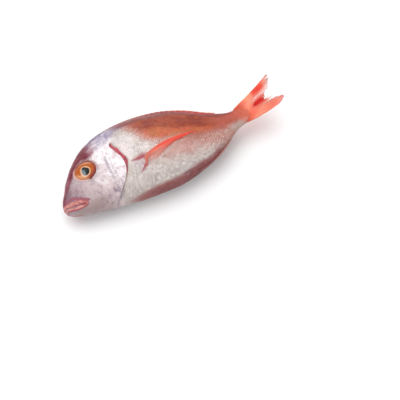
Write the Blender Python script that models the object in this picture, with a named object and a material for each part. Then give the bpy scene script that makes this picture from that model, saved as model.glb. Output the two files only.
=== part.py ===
"""A whole raw sea bream that lies on its right side.

Head, trunk and fins grow together, so they are one solid. Each eyeball is a solid of its own, loose in its
socket. The fish is shaped straight and level first: x runs from the snout to the tail, y up to the back fin and
z to the fish's left. lay_down() then lifts its stiff tail clear of the floor.
"""

import math

import bmesh
import bpy
import numpy as np
from mathutils import Matrix, Vector

# Driving dimensions, in metres. The upper tail lobe ends at 1.018 spans, and every share
# below is a share of the span.
TOTAL_LENGTH = 0.285
SPAN = TOTAL_LENGTH / 1.018
REST_HALF_WIDTH = 0.0196
TAIL_LIFT = math.radians(16)
TAIL_TURN = math.radians(10.5)
BOW_START = 0.46 * SPAN
TURN_START = 0.72 * SPAN
GAP = 0.0003

# Sections of the head and trunk, as shares of the span:
# distance from the snout, back, belly, height of the widest line, half width
STATIONS = np.array(
    (
        (0.000, -0.014, -0.014, -0.014, 0.000),
        (0.006, 0.006, -0.040, -0.014, 0.018),
        (0.030, 0.036, -0.064, -0.008, 0.029),
        (0.077, 0.092, -0.086, 0.004, 0.041),
        (0.137, 0.149, -0.102, 0.012, 0.054),
        (0.214, 0.198, -0.118, 0.022, 0.066),
        (0.300, 0.222, -0.132, 0.026, 0.075),
        (0.380, 0.222, -0.142, 0.028, 0.077),
        (0.470, 0.205, -0.146, 0.022, 0.073),
        (0.560, 0.172, -0.134, 0.010, 0.061),
        (0.640, 0.124, -0.112, -0.002, 0.046),
        (0.710, 0.066, -0.084, -0.010, 0.031),
        (0.770, 0.031, -0.062, -0.013, 0.021),
        (0.820, 0.024, -0.055, -0.014, 0.012),
        (0.865, 0.020, -0.045, -0.014, 0.003),
    )
) * SPAN
HULL_END = STATIONS[-1, 0]
BACK_ROUNDNESS = 1.10
BELLY_ROUNDNESS = 0.86

# Free edge of the gill cover: height, distance from the snout
GILL_EDGE = np.array(
    (
        (-0.135, 0.165),
        (-0.107, 0.199),
        (-0.066, 0.248),
        (-0.034, 0.273),
        (-0.005, 0.288),
        (0.023, 0.292),
        (0.064, 0.284),
        (0.102, 0.278),
        (0.150, 0.268),
    )
) * SPAN
GILL_REAR = GILL_EDGE[:, 1].max()
GILL_TOP = 0.122 * SPAN
GILL_BOTTOM = -0.112 * SPAN
GILL_FADE = 0.012 * SPAN
COLLAR = (0.05 * SPAN, 0.52 * SPAN)
# Height of the skin behind and ahead of that edge: distance behind it, height
GILL_STEP = np.array(
    (
        (-0.0300, 0.0),
        (-0.0060, 0.0009),
        (0.0000, 0.0009),
        (0.0005, -0.0014),
        (0.0024, -0.0014),
        (0.0042, 0.0002),
        (0.0120, 0.0),
    )
)

MOUTH_CORNER = 0.083 * SPAN
MOUTH_FRONT_Y = -0.015 * SPAN
MOUTH_CORNER_Y = -0.056 * SPAN
LIP_INSET = 0.88
LIP_SETBACK = 0.9
LIP_POINTS = 18

EYE_CENTRE = (0.145 * SPAN, 0.060 * SPAN)
EYE_RADIUS = 0.0140
EYE_HALF_DEPTH = 0.0062
EYE_STAND_OUT = 0.0029
EYE_FACING = Vector((-0.23, 0.22, 0.95)).normalized()

FIN_SINK = 0.0025
FOLD_LEAN = 0.45
TAIL_RAYS = 12
TAIL_FRAY = 0.0065
TAIL_ROOT = (0.800 * SPAN, -0.0135 * SPAN)
TAIL_ROOT_REACH = 0.040 * SPAN
TAIL_UPPER_REACH = 0.076 * SPAN
TAIL_LOWER_REACH = 0.066 * SPAN
# Length of the tail's rays: place across the fan, from the lowest ray to the highest, and length
TAIL_LENGTHS = np.array(
    (
        (-1.00, 0.164),
        (-0.80, 0.194),
        (-0.45, 0.160),
        (-0.10, 0.127),
        (0.15, 0.134),
        (0.45, 0.172),
        (0.75, 0.206),
        (1.00, 0.218),
    )
) * (1.0, SPAN)

HEAD_RINGS = 30
SLIT_RINGS = (0.0005, 0.0024, 0.0042)
TRUNK_RINGS = 25
AROUND = 52


def spline(at, knots, values):
    """A smooth curve through the knots, at the places `at`."""
    slopes = np.gradient(values, knots)
    i = np.clip(np.searchsorted(knots, at) - 1, 0, len(knots) - 2)
    step = knots[i + 1] - knots[i]
    u = np.clip((at - knots[i]) / step, 0.0, 1.0)
    start = (1 + 2 * u) * (1 - u) ** 2 * values[i] + u * (1 - u) ** 2 * step * slopes[i]
    end = u**2 * (3 - 2 * u) * values[i + 1] + u**2 * (u - 1) * step * slopes[i + 1]
    return start + end


def smooth(low, high, at):
    """Rises gently from 0 at `low` to 1 at `high`."""
    u = np.clip((at - low) / (high - low), 0.0, 1.0)
    return u * u * (3 - 2 * u)


def section(x):
    """Back, belly, widest line and half width at x. The square root makes the snout blunt."""
    root, knots = np.sqrt(np.maximum(x, 0.0)), np.sqrt(STATIONS[:, 0])
    return [spline(root, knots, STATIONS[:, column]) for column in (1, 2, 3, 4)]


def flank(x, around):
    """Height and sideways reach of the skin at x. `around` is 0 on the back and pi on the belly."""
    back, belly, widest, half = section(x)
    up, side = np.cos(around), np.abs(np.sin(around))
    height = widest + up * np.where(up > 0, back - widest, widest - belly)
    roundness = np.where(up > 0, BACK_ROUNDNESS, BELLY_ROUNDNESS)
    return height, np.sign(np.sin(around)) * half * side**roundness


def skin_z(x, y):
    """Sideways reach of the left flank at a point of the side view."""
    back, belly, widest, half = section(np.asarray(x, float))
    above = y > widest
    reach = np.maximum(np.where(above, back - widest, widest - belly), 0.0001)
    share = np.clip((y - widest) / reach, -1, 1)
    roundness = np.where(above, BACK_ROUNDNESS, BELLY_ROUNDNESS)
    return half * (1 - share**2) ** (roundness / 2)


def gill_x(y):
    return spline(y, GILL_EDGE[:, 0], GILL_EDGE[:, 1])


def skin_points(ring, around):
    """Points of the smooth hull. Rings near the gill cover lean forward to follow its edge."""
    start, end = COLLAR
    pull = np.where(
        ring < GILL_REAR, smooth(start, GILL_REAR, ring), 1 - smooth(GILL_REAR, end, ring)
    )
    x = ring
    for _ in range(3):
        y, _z = flank(x, around)
        x = ring + pull * (gill_x(y) - GILL_REAR)
    y, z = flank(x, around)
    return np.stack((x, y, z), axis=1)


def relief(ring, points):
    """How far the skin stands off the smooth hull: the gill cover's edge and the slit behind it."""
    y = points[:, 1]
    step = np.interp(ring - GILL_REAR, GILL_STEP[:, 0], GILL_STEP[:, 1])
    inside = smooth(GILL_BOTTOM, GILL_BOTTOM + GILL_FADE, y) * (
        1 - smooth(GILL_TOP - GILL_FADE, GILL_TOP, y)
    )
    return step * inside


def ring_places():
    """Distance of each ring from the snout, as measured at the rear of the gill cover."""
    head = GILL_REAR * np.linspace(0, 1, HEAD_RINGS + 1) ** 2
    slit = GILL_REAR + np.array(SLIT_RINGS)
    trunk = np.linspace(slit[-1], HULL_END, TRUNK_RINGS + 1)[1:]
    return np.concatenate((head, slit, trunk))


def coordinates(bm):
    return np.array([vert.co for vert in bm.verts])


def move_to(bm, points):
    for vert, point in zip(bm.verts, points):
        vert.co = point


def bend(along, across, start, angle):
    """Curves the fish from `start` to its tail tip, ever more tightly, until it points `angle` away."""
    places = np.linspace(-0.05, 1.05, 400) * SPAN
    heading = angle * np.clip((places - start) / (SPAN - start), 0, 1) ** 1.5
    step = places[1] - places[0]
    line_along = places[0] + np.cumsum(np.cos(heading)) * step - step
    line_across = np.cumsum(np.sin(heading)) * step
    turned = np.interp(along, places, heading)
    new_along = np.interp(along, places, line_along) - across * np.sin(turned)
    new_across = np.interp(along, places, line_across) + across * np.cos(turned)
    return new_along, new_across


def lay_down(points):
    """Lays the straight fish on its right flank, with the tail turned a little and lifted in a stiff bow."""
    x, y, z = points.T
    x, y = bend(x, y, TURN_START, TAIL_TURN)
    x, z = bend(x, z, BOW_START, TAIL_LIFT)
    return np.stack((x, y, z + REST_HALF_WIDTH), axis=1)


def material(name, colour, roughness):
    made = bpy.data.materials.new(name)
    made.use_nodes = True
    shader = made.node_tree.nodes["Principled BSDF"]
    shader.inputs["Base Color"].default_value = (*colour, 1.0)
    shader.inputs["Roughness"].default_value = roughness
    shader.inputs["Metallic"].default_value = 0.0
    return made


def add_object(name, bm, finish=None):
    bmesh.ops.recalc_face_normals(bm, faces=bm.faces[:])
    mesh = bpy.data.meshes.new(name)
    bm.to_mesh(mesh)
    bm.free()
    mesh.shade_smooth()
    mesh.set_sharp_from_angle(angle=math.radians(50))
    if finish:
        mesh.materials.append(finish)
    made = bpy.data.objects.new(name, mesh)
    bpy.context.scene.collection.objects.link(made)
    return made


def hull():
    """Head and trunk: a UV sphere whose rings become the sections of the fish."""
    places = ring_places()
    bm = bmesh.new()
    bmesh.ops.create_uvsphere(bm, u_segments=AROUND, v_segments=len(places) - 1, radius=1.0)
    ball = coordinates(bm)
    polar = np.arccos(np.clip(ball[:, 2], -1, 1)) / math.pi
    ring = places[np.rint(polar * (len(places) - 1)).astype(int)]
    around = np.arctan2(ball[:, 1], ball[:, 0])
    points = skin_points(ring, around)
    move_to(bm, points)
    bmesh.ops.recalc_face_normals(bm, faces=bm.faces[:])
    bm.normal_update()
    normals = np.array([vert.normal for vert in bm.verts])
    points = points + normals * relief(ring, points)[:, None]
    move_to(bm, lay_down(points))
    return add_object("hull", bm)


def fin_sheet(name, rays, along, surface):
    """A thin sheet with a top and an underside. surface(u, v, side) gives its points: u runs across the rays,
    v from root to tip, and side is 1 on top and -1 below."""
    bm = bmesh.new()
    bmesh.ops.create_grid(bm, x_segments=2 * rays, y_segments=along, size=1.0)
    bmesh.ops.triangulate(bm, faces=bm.faces[:])
    grown = bmesh.ops.extrude_face_region(bm, geom=bm.faces[:])
    lifted = [item for item in grown["geom"] if isinstance(item, bmesh.types.BMVert)]
    bmesh.ops.translate(bm, verts=lifted, vec=(0, 0, 1))
    flat = coordinates(bm)
    u, v = (flat[:, 0] + 1) / 2, (flat[:, 1] + 1) / 2
    side = np.where(flat[:, 2] > 0.5, 1.0, -1.0)
    move_to(bm, lay_down(surface(u, v, side)))
    return add_object(name, bm)


def ray_ridge(u, rays):
    """1 on each ray and 0 midway between two."""
    return np.abs(np.cos(math.pi * u * rays))


def tail_fin():
    """The forked tail. Its rays fan out from the end of the hull, the outer ones the longest."""

    def surface(u, v, side):
        across = 2 * u - 1
        ridge = ray_ridge(u, TAIL_RAYS)
        length = spline(across, TAIL_LENGTHS[:, 0], TAIL_LENGTHS[:, 1])
        length = length - TAIL_FRAY * (1 - ridge) * smooth(0.55, 1, v)
        reach = np.where(across > 0, TAIL_UPPER_REACH, TAIL_LOWER_REACH)
        x = TAIL_ROOT[0] + length * v
        y = TAIL_ROOT[1] + across * (TAIL_ROOT_REACH + (reach - TAIL_ROOT_REACH) * v**0.6)
        half = (0.0016 * (1 - v) + 0.00055) * (0.75 + 0.25 * ridge)
        return np.stack((x, y, side * half), axis=1)

    return fin_sheet("tail_fin", TAIL_RAYS, 9, surface)


def ridge_fin(name, start, end, sign, height, overhang, rays):
    """A fin folded down along the back (sign 1) or the belly (sign -1). Its ray tips stand up as low teeth."""

    def surface(u, v, side):
        ridge = ray_ridge(u, rays)
        x = start + (end - start) * u + overhang * v * (0.35 + 0.65 * u)
        back, belly, _widest, _half = section(x)
        crown = np.sin(math.pi * (0.06 + 0.88 * u)) ** 0.5
        rise = FIN_SINK + height * crown * (0.72 + 0.28 * ridge)
        y = np.where(sign > 0, back, belly) - sign * FIN_SINK + sign * rise * v
        half = 0.00060 + 0.0014 * (1 - v)
        lean = FOLD_LEAN * rise * v**2
        return np.stack((x, y, side * half + lean), axis=1)

    return fin_sheet(name, rays, 3, surface)


def flank_fin(name, side_sign, root_top, root_bottom, tip, end_bottom, rays, stand_off, arch):
    """A paired fin that lies back against the flank. Corners are points of the side view, as shares of the span:
    the top ray runs from root_top to tip, and the lowest from root_bottom to end_bottom."""
    corners = [np.array(point) * SPAN for point in (root_top, root_bottom, tip, end_bottom)]
    top, bottom, far, low = corners

    def surface(u, v, side):
        ridge = ray_ridge(u, rays)
        length = v * (1 - 0.10 * (1 - ridge) * smooth(0.5, 1, v))
        start = top + (bottom - top) * u[:, None]
        finish = far + (low - far) * (u**0.85)[:, None]
        place = start + (finish - start) * length[:, None]
        bulge = arch * np.sin(math.pi * length) * (1 - u)
        x, y = place[:, 0], place[:, 1] + bulge
        lift = stand_off * smooth(0.0, 0.25, v) * (0.6 + 0.4 * ridge)
        z = skin_z(x, y) + np.where(side > 0, lift, -FIN_SINK)
        return np.stack((x, y, side_sign * z), axis=1)

    return fin_sheet(name, rays, 7, surface)


def lip_path(above, radius):
    """Middle line of a lip, from the right corner of the mouth round the snout to the left one."""
    x = MOUTH_CORNER * np.linspace(0, 1, 60) ** 2
    y = MOUTH_FRONT_Y + (MOUTH_CORNER_Y - MOUTH_FRONT_Y) * x / MOUTH_CORNER + above * (1 - 0.5 * x / MOUTH_CORNER)
    z = LIP_INSET * skin_z(x, y)
    z[0] = 0.0
    half = np.stack((x + LIP_SETBACK * radius, y, z), axis=1)
    path = np.concatenate((half[:0:-1] * (1, 1, -1), half))
    length = np.concatenate(((0,), np.cumsum(np.linalg.norm(np.diff(path, axis=0), axis=1))))
    places = np.linspace(0, length[-1], LIP_POINTS)
    return np.stack([np.interp(places, length, path[:, axis]) for axis in range(3)], axis=1)


def lip(name, above, radius):
    """A fleshy lip: a tapered tube round the snout."""
    curve = bpy.data.curves.new(name, "CURVE")
    curve.dimensions = "3D"
    curve.bevel_depth = radius
    curve.bevel_resolution = 2
    curve.use_fill_caps = True
    line = curve.splines.new("POLY")
    line.points.add(LIP_POINTS - 1)
    taper = 1 - 0.45 * np.linspace(-1, 1, LIP_POINTS) ** 2
    for point, place, size in zip(line.points, lay_down(lip_path(above, radius)), taper):
        point.co = (*place, 1.0)
        point.radius = size
    tube = bpy.data.objects.new(name + "_curve", curve)
    bpy.context.scene.collection.objects.link(tube)
    bpy.context.view_layer.update()
    mesh = bpy.data.meshes.new_from_object(tube.evaluated_get(bpy.context.evaluated_depsgraph_get()))
    bpy.data.objects.remove(tube)
    bm = bmesh.new()
    bm.from_mesh(mesh)
    bmesh.ops.remove_doubles(bm, verts=bm.verts[:], dist=0.00002)
    return add_object(name, bm)


def eye_matrix(side_sign):
    """Where an eyeball sits: its own z axis is the way that the eye looks."""
    x, y = EYE_CENTRE
    depth = float(skin_z(x, y)) + EYE_STAND_OUT - EYE_HALF_DEPTH
    centre = lay_down(np.array(((x, y, side_sign * depth),)))[0]
    facing = Vector((EYE_FACING.x, EYE_FACING.y, side_sign * EYE_FACING.z))
    return Matrix.Translation(centre) @ facing.to_track_quat("Z", "Y").to_matrix().to_4x4()


def eyeball(name, side_sign, extra, finish=None, segments=24):
    """A flattened ball. `extra` makes it larger all round, for the socket."""
    bm = bmesh.new()
    bmesh.ops.create_uvsphere(bm, u_segments=segments, v_segments=segments // 2, radius=1.0)
    radius, depth = EYE_RADIUS + extra, EYE_HALF_DEPTH + extra
    bmesh.ops.scale(bm, vec=(radius, radius, depth), verts=bm.verts[:])
    made = add_object(name, bm, finish)
    made.matrix_world = eye_matrix(side_sign)
    return made


def boolean(target, operation, others):
    """Joins or cuts target with all of the others at once, then removes them."""
    bin_name = operation.lower() + "_with_" + target.name
    group = bpy.data.collections.new(bin_name)
    for other in others:
        group.objects.link(other)
    step = target.modifiers.new(operation.title(), "BOOLEAN")
    step.operation = operation
    step.operand_type = "COLLECTION"
    step.collection = group
    step.solver = "EXACT"
    bpy.context.view_layer.update()
    graph = bpy.context.evaluated_depsgraph_get()
    mesh = bpy.data.meshes.new_from_object(target.evaluated_get(graph))
    target.modifiers.clear()
    target.data = mesh
    for other in others:
        bpy.data.objects.remove(other)
    bpy.data.collections.remove(group)


def floor_block():
    """Cuts the flat spot that the fish rests on."""
    bm = bmesh.new()
    bmesh.ops.create_cube(bm, size=1.0)
    bmesh.ops.translate(bm, verts=bm.verts[:], vec=(0, 0, -0.5))
    return add_object("floor_block", bm)


def fins():
    made = [
        tail_fin(),
        ridge_fin("back_fin", 0.285 * SPAN, 0.690 * SPAN, 1, 0.0036, 0.012, 22),
        ridge_fin("anal_fin", 0.520 * SPAN, 0.675 * SPAN, -1, 0.0048, 0.012, 11),
    ]
    for side_name, side_sign in (("left", 1), ("right", -1)):
        made.append(
            flank_fin(
                "chest_fin_" + side_name,
                side_sign,
                root_top=(0.334, 0.012),
                root_bottom=(0.322, -0.060),
                tip=(0.602, -0.003),
                end_bottom=(0.356, -0.068),
                rays=12,
                stand_off=0.0011,
                arch=0.004,
            )
        )
        made.append(
            flank_fin(
                "belly_fin_" + side_name,
                side_sign,
                root_top=(0.335, -0.118),
                root_bottom=(0.345, -0.137),
                tip=(0.552, -0.127),
                end_bottom=(0.470, -0.141),
                rays=6,
                stand_off=0.0006,
                arch=0.0,
            )
        )
    return made


def centre_on_floor(objects):
    """Moves the middle of the fish's footprint to the origin."""
    bpy.context.view_layer.update()
    places = np.array([obj.matrix_world @ vert.co for obj in objects for vert in obj.data.vertices])
    low, high = places.min(axis=0), places.max(axis=0)
    anchor = bpy.data.objects.new("footprint_centre", None)
    bpy.context.scene.collection.objects.link(anchor)
    anchor.location = (-(low[0] + high[0]) / 2, -(low[1] + high[1]) / 2, -low[2])
    for obj in objects:
        obj.parent = anchor


def main():
    for obj in list(bpy.data.objects):
        bpy.data.objects.remove(obj)
    skin = material("skin", (0.62, 0.42, 0.38), 0.30)
    eye = material("eye", (0.75, 0.38, 0.12), 0.08)
    fish = hull()
    fish.name = "fish"
    lips = [lip("upper_lip", 0.0036, 0.0034), lip("lower_lip", -0.0030, 0.0030)]
    boolean(fish, "UNION", fins() + lips)
    sockets = [eyeball("socket_left", 1, GAP), eyeball("socket_right", -1, GAP)]
    boolean(fish, "DIFFERENCE", sockets + [floor_block()])
    fish.data.materials.clear()
    fish.data.materials.append(skin)
    eyes = [eyeball("eye_left", 1, 0.0, eye), eyeball("eye_right", -1, 0.0, eye)]
    centre_on_floor([fish, *eyes])


main()
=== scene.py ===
# %% [markdown]
# # A whole raw sea bream
#
# This lesson dresses a plain solid model of a fish. The model, which we call the frame, already has the
# right size and place. We load it, measure it, and then build the wet skin, the fins, the lips and the
# eyes over it. All lengths are in metres. The fish lies on its right side with its snout towards -X, its
# back towards +Y and its left side up.

# %% Load the frame
import math

import bmesh
import bpy
import numpy as np
from mathutils import Matrix, Vector


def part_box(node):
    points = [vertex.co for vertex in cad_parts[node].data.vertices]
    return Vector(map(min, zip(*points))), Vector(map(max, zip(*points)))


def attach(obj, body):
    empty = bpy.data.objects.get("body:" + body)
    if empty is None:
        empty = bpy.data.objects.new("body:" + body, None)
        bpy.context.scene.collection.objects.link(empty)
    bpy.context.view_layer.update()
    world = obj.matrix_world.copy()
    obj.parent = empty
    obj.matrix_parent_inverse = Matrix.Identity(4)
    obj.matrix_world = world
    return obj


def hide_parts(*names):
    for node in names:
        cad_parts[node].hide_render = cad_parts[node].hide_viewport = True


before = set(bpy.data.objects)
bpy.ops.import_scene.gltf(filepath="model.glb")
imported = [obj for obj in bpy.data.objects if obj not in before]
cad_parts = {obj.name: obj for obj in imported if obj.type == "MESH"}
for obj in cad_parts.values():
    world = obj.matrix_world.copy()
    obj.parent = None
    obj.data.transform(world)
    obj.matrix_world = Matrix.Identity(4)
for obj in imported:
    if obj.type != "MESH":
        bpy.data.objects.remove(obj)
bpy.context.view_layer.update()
fish_low, fish_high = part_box("fish")
print("nodes:", sorted(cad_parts))
print("the fish node in mm:", [[round(v * 1000, 1) for v in corner] for corner in (fish_low, fish_high)])

# %% [markdown]
# ## One length drives the rest
#
# The real fish is 285 mm from the snout to the tip of the tail. The outline and the places on it are shares
# of one span, which is a little shorter than that. The depths and widths of small forms are in metres.

# %% Driving sizes
TOTAL_LENGTH = 0.285
SPAN = TOTAL_LENGTH / 1.018
REST_HALF_WIDTH = 0.0196
TAIL_LIFT = math.radians(16)
TAIL_TURN = math.radians(10.5)
BOW_START = 0.46 * SPAN
TURN_START = 0.72 * SPAN
print("span in mm:", round(SPAN * 1000, 1))

# %% [markdown]
# ## Sections of the body
#
# A boat builder draws a hull as sections, and a fish can be drawn in the same way. Each row below gives
# the back, the belly, the height where the body is widest, and half its width there, at one distance from
# the snout. A smooth curve joins the rows. Between back and belly a section is an oval that is a bit
# pointed at the top and full at the bottom.

# %% Sections
STATIONS = np.array(
    (
        (0.000, -0.026, -0.026, -0.026, 0.000),
        (0.006, -0.003, -0.047, -0.026, 0.017),
        (0.030, 0.035, -0.066, -0.015, 0.029),
        (0.077, 0.098, -0.086, 0.002, 0.041),
        (0.137, 0.156, -0.102, 0.012, 0.054),
        (0.214, 0.203, -0.122, 0.022, 0.066),
        (0.300, 0.222, -0.139, 0.026, 0.075),
        (0.380, 0.222, -0.150, 0.028, 0.077),
        (0.470, 0.205, -0.154, 0.022, 0.073),
        (0.560, 0.172, -0.142, 0.010, 0.061),
        (0.640, 0.124, -0.119, -0.002, 0.046),
        (0.710, 0.066, -0.088, -0.010, 0.031),
        (0.770, 0.031, -0.062, -0.013, 0.021),
        (0.820, 0.024, -0.055, -0.014, 0.012),
        (0.865, 0.020, -0.045, -0.014, 0.003),
    )
) * SPAN
HULL_END = STATIONS[-1, 0]
BACK_ROUNDNESS = 1.10
BELLY_ROUNDNESS = 0.86


def spline(at, knots, values):
    """A smooth curve through the knots, at the places `at`."""
    slopes = np.gradient(values, knots)
    i = np.clip(np.searchsorted(knots, at) - 1, 0, len(knots) - 2)
    step = knots[i + 1] - knots[i]
    u = np.clip((at - knots[i]) / step, 0.0, 1.0)
    start = (1 + 2 * u) * (1 - u) ** 2 * values[i] + u * (1 - u) ** 2 * step * slopes[i]
    end = u**2 * (3 - 2 * u) * values[i + 1] + u**2 * (u - 1) * step * slopes[i + 1]
    return start + end


def smooth(low, high, at):
    """Rises gently from 0 at `low` to 1 at `high`."""
    u = np.clip((at - low) / (high - low), 0.0, 1.0)
    return u * u * (3 - 2 * u)


def section(x):
    """Back, belly, widest line and half width at x. The square root makes the snout blunt."""
    root, knots = np.sqrt(np.maximum(x, 0.0)), np.sqrt(STATIONS[:, 0])
    return [spline(root, knots, STATIONS[:, column]) for column in (1, 2, 3, 4)]


def flank(x, around):
    """Height and sideways reach of the skin at x. `around` is 0 on the back and pi on the belly."""
    back, belly, widest, half = section(x)
    up, side = np.cos(around), np.abs(np.sin(around))
    height = widest + up * np.where(up > 0, back - widest, widest - belly)
    roundness = np.where(up > 0, BACK_ROUNDNESS, BELLY_ROUNDNESS)
    return height, np.sign(np.sin(around)) * half * side**roundness


def skin_z(x, y):
    """Sideways reach of the left flank at a point of the side view."""
    back, belly, widest, half = section(np.asarray(x, float))
    above = y > widest
    reach = np.maximum(np.where(above, back - widest, widest - belly), 0.0001)
    share = np.clip((y - widest) / reach, -1, 1)
    roundness = np.where(above, BACK_ROUNDNESS, BELLY_ROUNDNESS)
    return half * (1 - share**2) ** (roundness / 2)


print("deepest at share", round(float(STATIONS[(STATIONS[:, 1] - STATIONS[:, 2]).argmax(), 0] / SPAN), 2))

# %% [markdown]
# ## From the swimming pose to the table
#
# It is easiest to model the fish straight and level, with x along it, y up and z to its left. One
# function then lays it down: the tail bends up in the stiff bow of a fresh fish, and the whole is moved
# over the origin. Each piece goes through the same function, so all of them stay together.

# %% Lay the fish down
FOOTPRINT_X = 0.14000
FOOTPRINT_Y = 0.01205


def bend(along, across, start, angle):
    """Curves the fish from `start` to its tail tip, ever more tightly, until it points `angle` away."""
    places = np.linspace(-0.05, 1.05, 400) * SPAN
    heading = angle * np.clip((places - start) / (SPAN - start), 0, 1) ** 1.5
    step = places[1] - places[0]
    line_along = places[0] + np.cumsum(np.cos(heading)) * step - step
    line_across = np.cumsum(np.sin(heading)) * step
    turned = np.interp(along, places, heading)
    new_along = np.interp(along, places, line_along) - across * np.sin(turned)
    new_across = np.interp(along, places, line_across) + across * np.cos(turned)
    return new_along, new_across


def lay_down(points):
    """Lays the straight fish on its right flank, tail lifted, with its footprint's middle at the origin."""
    x, y, z = points.T
    x, y = bend(x, y, TURN_START, TAIL_TURN)
    x, z = bend(x, z, BOW_START, TAIL_LIFT)
    high = z + REST_HALF_WIDTH
    soft = 0.0008
    high = np.where(high > soft, high, np.where(high < -soft, 0.0, (high + soft) ** 2 / (4 * soft)))
    return np.stack((x - FOOTPRINT_X, y - FOOTPRINT_Y, high), axis=1)


tip = lay_down(np.array(((0.0, -0.014 * SPAN, 0.0), (SPAN, 0.05 * SPAN, 0.0))))
print("snout and tail tip in mm:", (tip * 1000).round(1).tolist())

# %% [markdown]
# ## Camera, light and floor
#
# The camera looks down on the fish from the side of its belly and chin, through a long lens. A white
# floor, one broad soft light overhead and a weaker one near the camera give the even light and the faint
# shadow of a catalogue picture. The floor is stage, not part of the fish.

# %% Camera
VIEW_AZIMUTH = math.radians(-32.5)
VIEW_ELEVATION = math.radians(56)
PICTURE = 400
FOCAL_PIXELS = 944.0
PIXELS_PER_METRE = 907.4
AIM = Vector((0.45 * SPAN - FOOTPRINT_X, 0.02 * SPAN - FOOTPRINT_Y, 0.020))
AIM_PIXEL = (160.05, 151.29)
SENSOR = 36.0

scene = bpy.context.scene
back = Vector(
    (
        math.sin(VIEW_AZIMUTH) * math.cos(VIEW_ELEVATION),
        -math.cos(VIEW_AZIMUTH) * math.cos(VIEW_ELEVATION),
        math.sin(VIEW_ELEVATION),
    )
)
right = Vector((math.cos(VIEW_AZIMUTH), math.sin(VIEW_AZIMUTH), 0))
above = back.cross(right)
distance = FOCAL_PIXELS / PIXELS_PER_METRE
metres_per_pixel = distance / FOCAL_PIXELS
spot = AIM + back * distance
spot -= right * (AIM_PIXEL[0] - PICTURE / 2) * metres_per_pixel
spot += above * (AIM_PIXEL[1] - PICTURE / 2) * metres_per_pixel
lens = bpy.data.cameras.new("camera")
lens.lens = FOCAL_PIXELS / PICTURE * SENSOR
lens.sensor_width = SENSOR
lens.clip_start = 0.01
camera = bpy.data.objects.new("camera", lens)
scene.collection.objects.link(camera)
camera.matrix_world = Matrix.Translation(spot) @ Matrix((right, above, back)).transposed().to_4x4()
scene.camera = camera
print("camera at", [round(v, 3) for v in spot], "lens in mm", round(lens.lens, 1))


# %% Light
def soft_light(name, place, size, watts, tint):
    lamp = bpy.data.lights.new(name, "AREA")
    lamp.shape = "DISK"
    lamp.size = size
    lamp.energy = watts
    lamp.color = tint
    holder = bpy.data.objects.new(name, lamp)
    scene.collection.objects.link(holder)
    aim = Vector((0, 0, 0)) - Vector(place)
    holder.matrix_world = Matrix.Translation(place) @ aim.to_track_quat("-Z", "Y").to_matrix().to_4x4()


soft_light("overhead_light", (-0.12, 0.52, 1.30), 2.0, 15.0, (1.0, 0.99, 0.97))
soft_light("front_light", (-0.95, -0.55, 0.95), 0.9, 2.5, (0.97, 0.98, 1.0))
world = bpy.data.worlds.new("studio")
world.use_nodes = True
world.node_tree.nodes["Background"].inputs["Color"].default_value = (0.97, 0.98, 1.0, 1.0)
world.node_tree.nodes["Background"].inputs["Strength"].default_value = 0.80
scene.world = world
scene.view_settings.view_transform = "Standard"
scene.view_settings.look = "None"

# %% [markdown]
# ## Small helpers for shaders
#
# Colours are written as they look on screen and turned into the linear values that a shader wants. The
# other helpers each add one node and join it up, which keeps the material cells short.


# %% Shader helpers
def tone(text):
    """A colour written as six hex digits, as linear red, green, blue and alpha."""
    shades = [int(text[i : i + 2], 16) / 255 for i in (0, 2, 4)]
    return (*[s / 12.92 if s <= 0.04045 else ((s + 0.055) / 1.055) ** 2.4 for s in shades], 1.0)


def new_material(name):
    made = bpy.data.materials.new(name)
    made.use_nodes = True
    return made, made.node_tree, made.node_tree.nodes["Principled BSDF"]


def join(tree, source, target):
    """Links a socket, or sets a plain value."""
    if isinstance(source, bpy.types.NodeSocket):
        tree.links.new(source, target)
    else:
        target.default_value = source


def add_math(tree, operation, first, second=0.0, clamp=False):
    node = tree.nodes.new("ShaderNodeMath")
    node.operation = operation
    node.use_clamp = clamp
    join(tree, first, node.inputs[0])
    join(tree, second, node.inputs[1])
    return node.outputs[0]


def add_mix(tree, factor, first, second):
    node = tree.nodes.new("ShaderNodeMix")
    node.data_type = "RGBA"
    join(tree, factor, node.inputs[0])
    join(tree, first, node.inputs[6])
    join(tree, second, node.inputs[7])
    return node.outputs[2]


def add_range(tree, value, low, high, new_low=0.0, new_high=1.0):
    node = tree.nodes.new("ShaderNodeMapRange")
    node.interpolation_type = "SMOOTHSTEP"
    join(tree, value, node.inputs["Value"])
    node.inputs["From Min"].default_value = low
    node.inputs["From Max"].default_value = high
    node.inputs["To Min"].default_value = new_low
    node.inputs["To Max"].default_value = new_high
    return node.outputs[0]


def add_attribute(tree, name):
    node = tree.nodes.new("ShaderNodeAttribute")
    node.attribute_name = name
    return node


def add_noise(tree, vector, scale, detail=3.0, rough=0.55):
    node = tree.nodes.new("ShaderNodeTexNoise")
    node.inputs["Scale"].default_value = scale
    node.inputs["Detail"].default_value = detail
    node.inputs["Roughness"].default_value = rough
    join(tree, vector, node.inputs["Vector"])
    return node.outputs["Fac"]


def add_group(tree, group, **values):
    node = tree.nodes.new("ShaderNodeGroup")
    node.node_tree = group
    for name, value in values.items():
        join(tree, value, node.inputs[name.replace("_", " ")])
    return node


def new_group(name, takes, gives):
    """An empty node group. `takes` and `gives` map a socket's name to its type and default."""
    group = bpy.data.node_groups.new(name, "ShaderNodeTree")
    for label, (kind, value) in takes.items():
        socket = group.interface.new_socket(name=label, in_out="INPUT", socket_type="NodeSocket" + kind)
        if value is not None:
            socket.default_value = value
    for label, kind in gives.items():
        group.interface.new_socket(name=label, in_out="OUTPUT", socket_type="NodeSocket" + kind)
    start = group.nodes.new("NodeGroupInput")
    end = group.nodes.new("NodeGroupOutput")
    return group, start.outputs, end.inputs


print("a test colour:", [round(v, 3) for v in tone("c9a093")])

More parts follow.
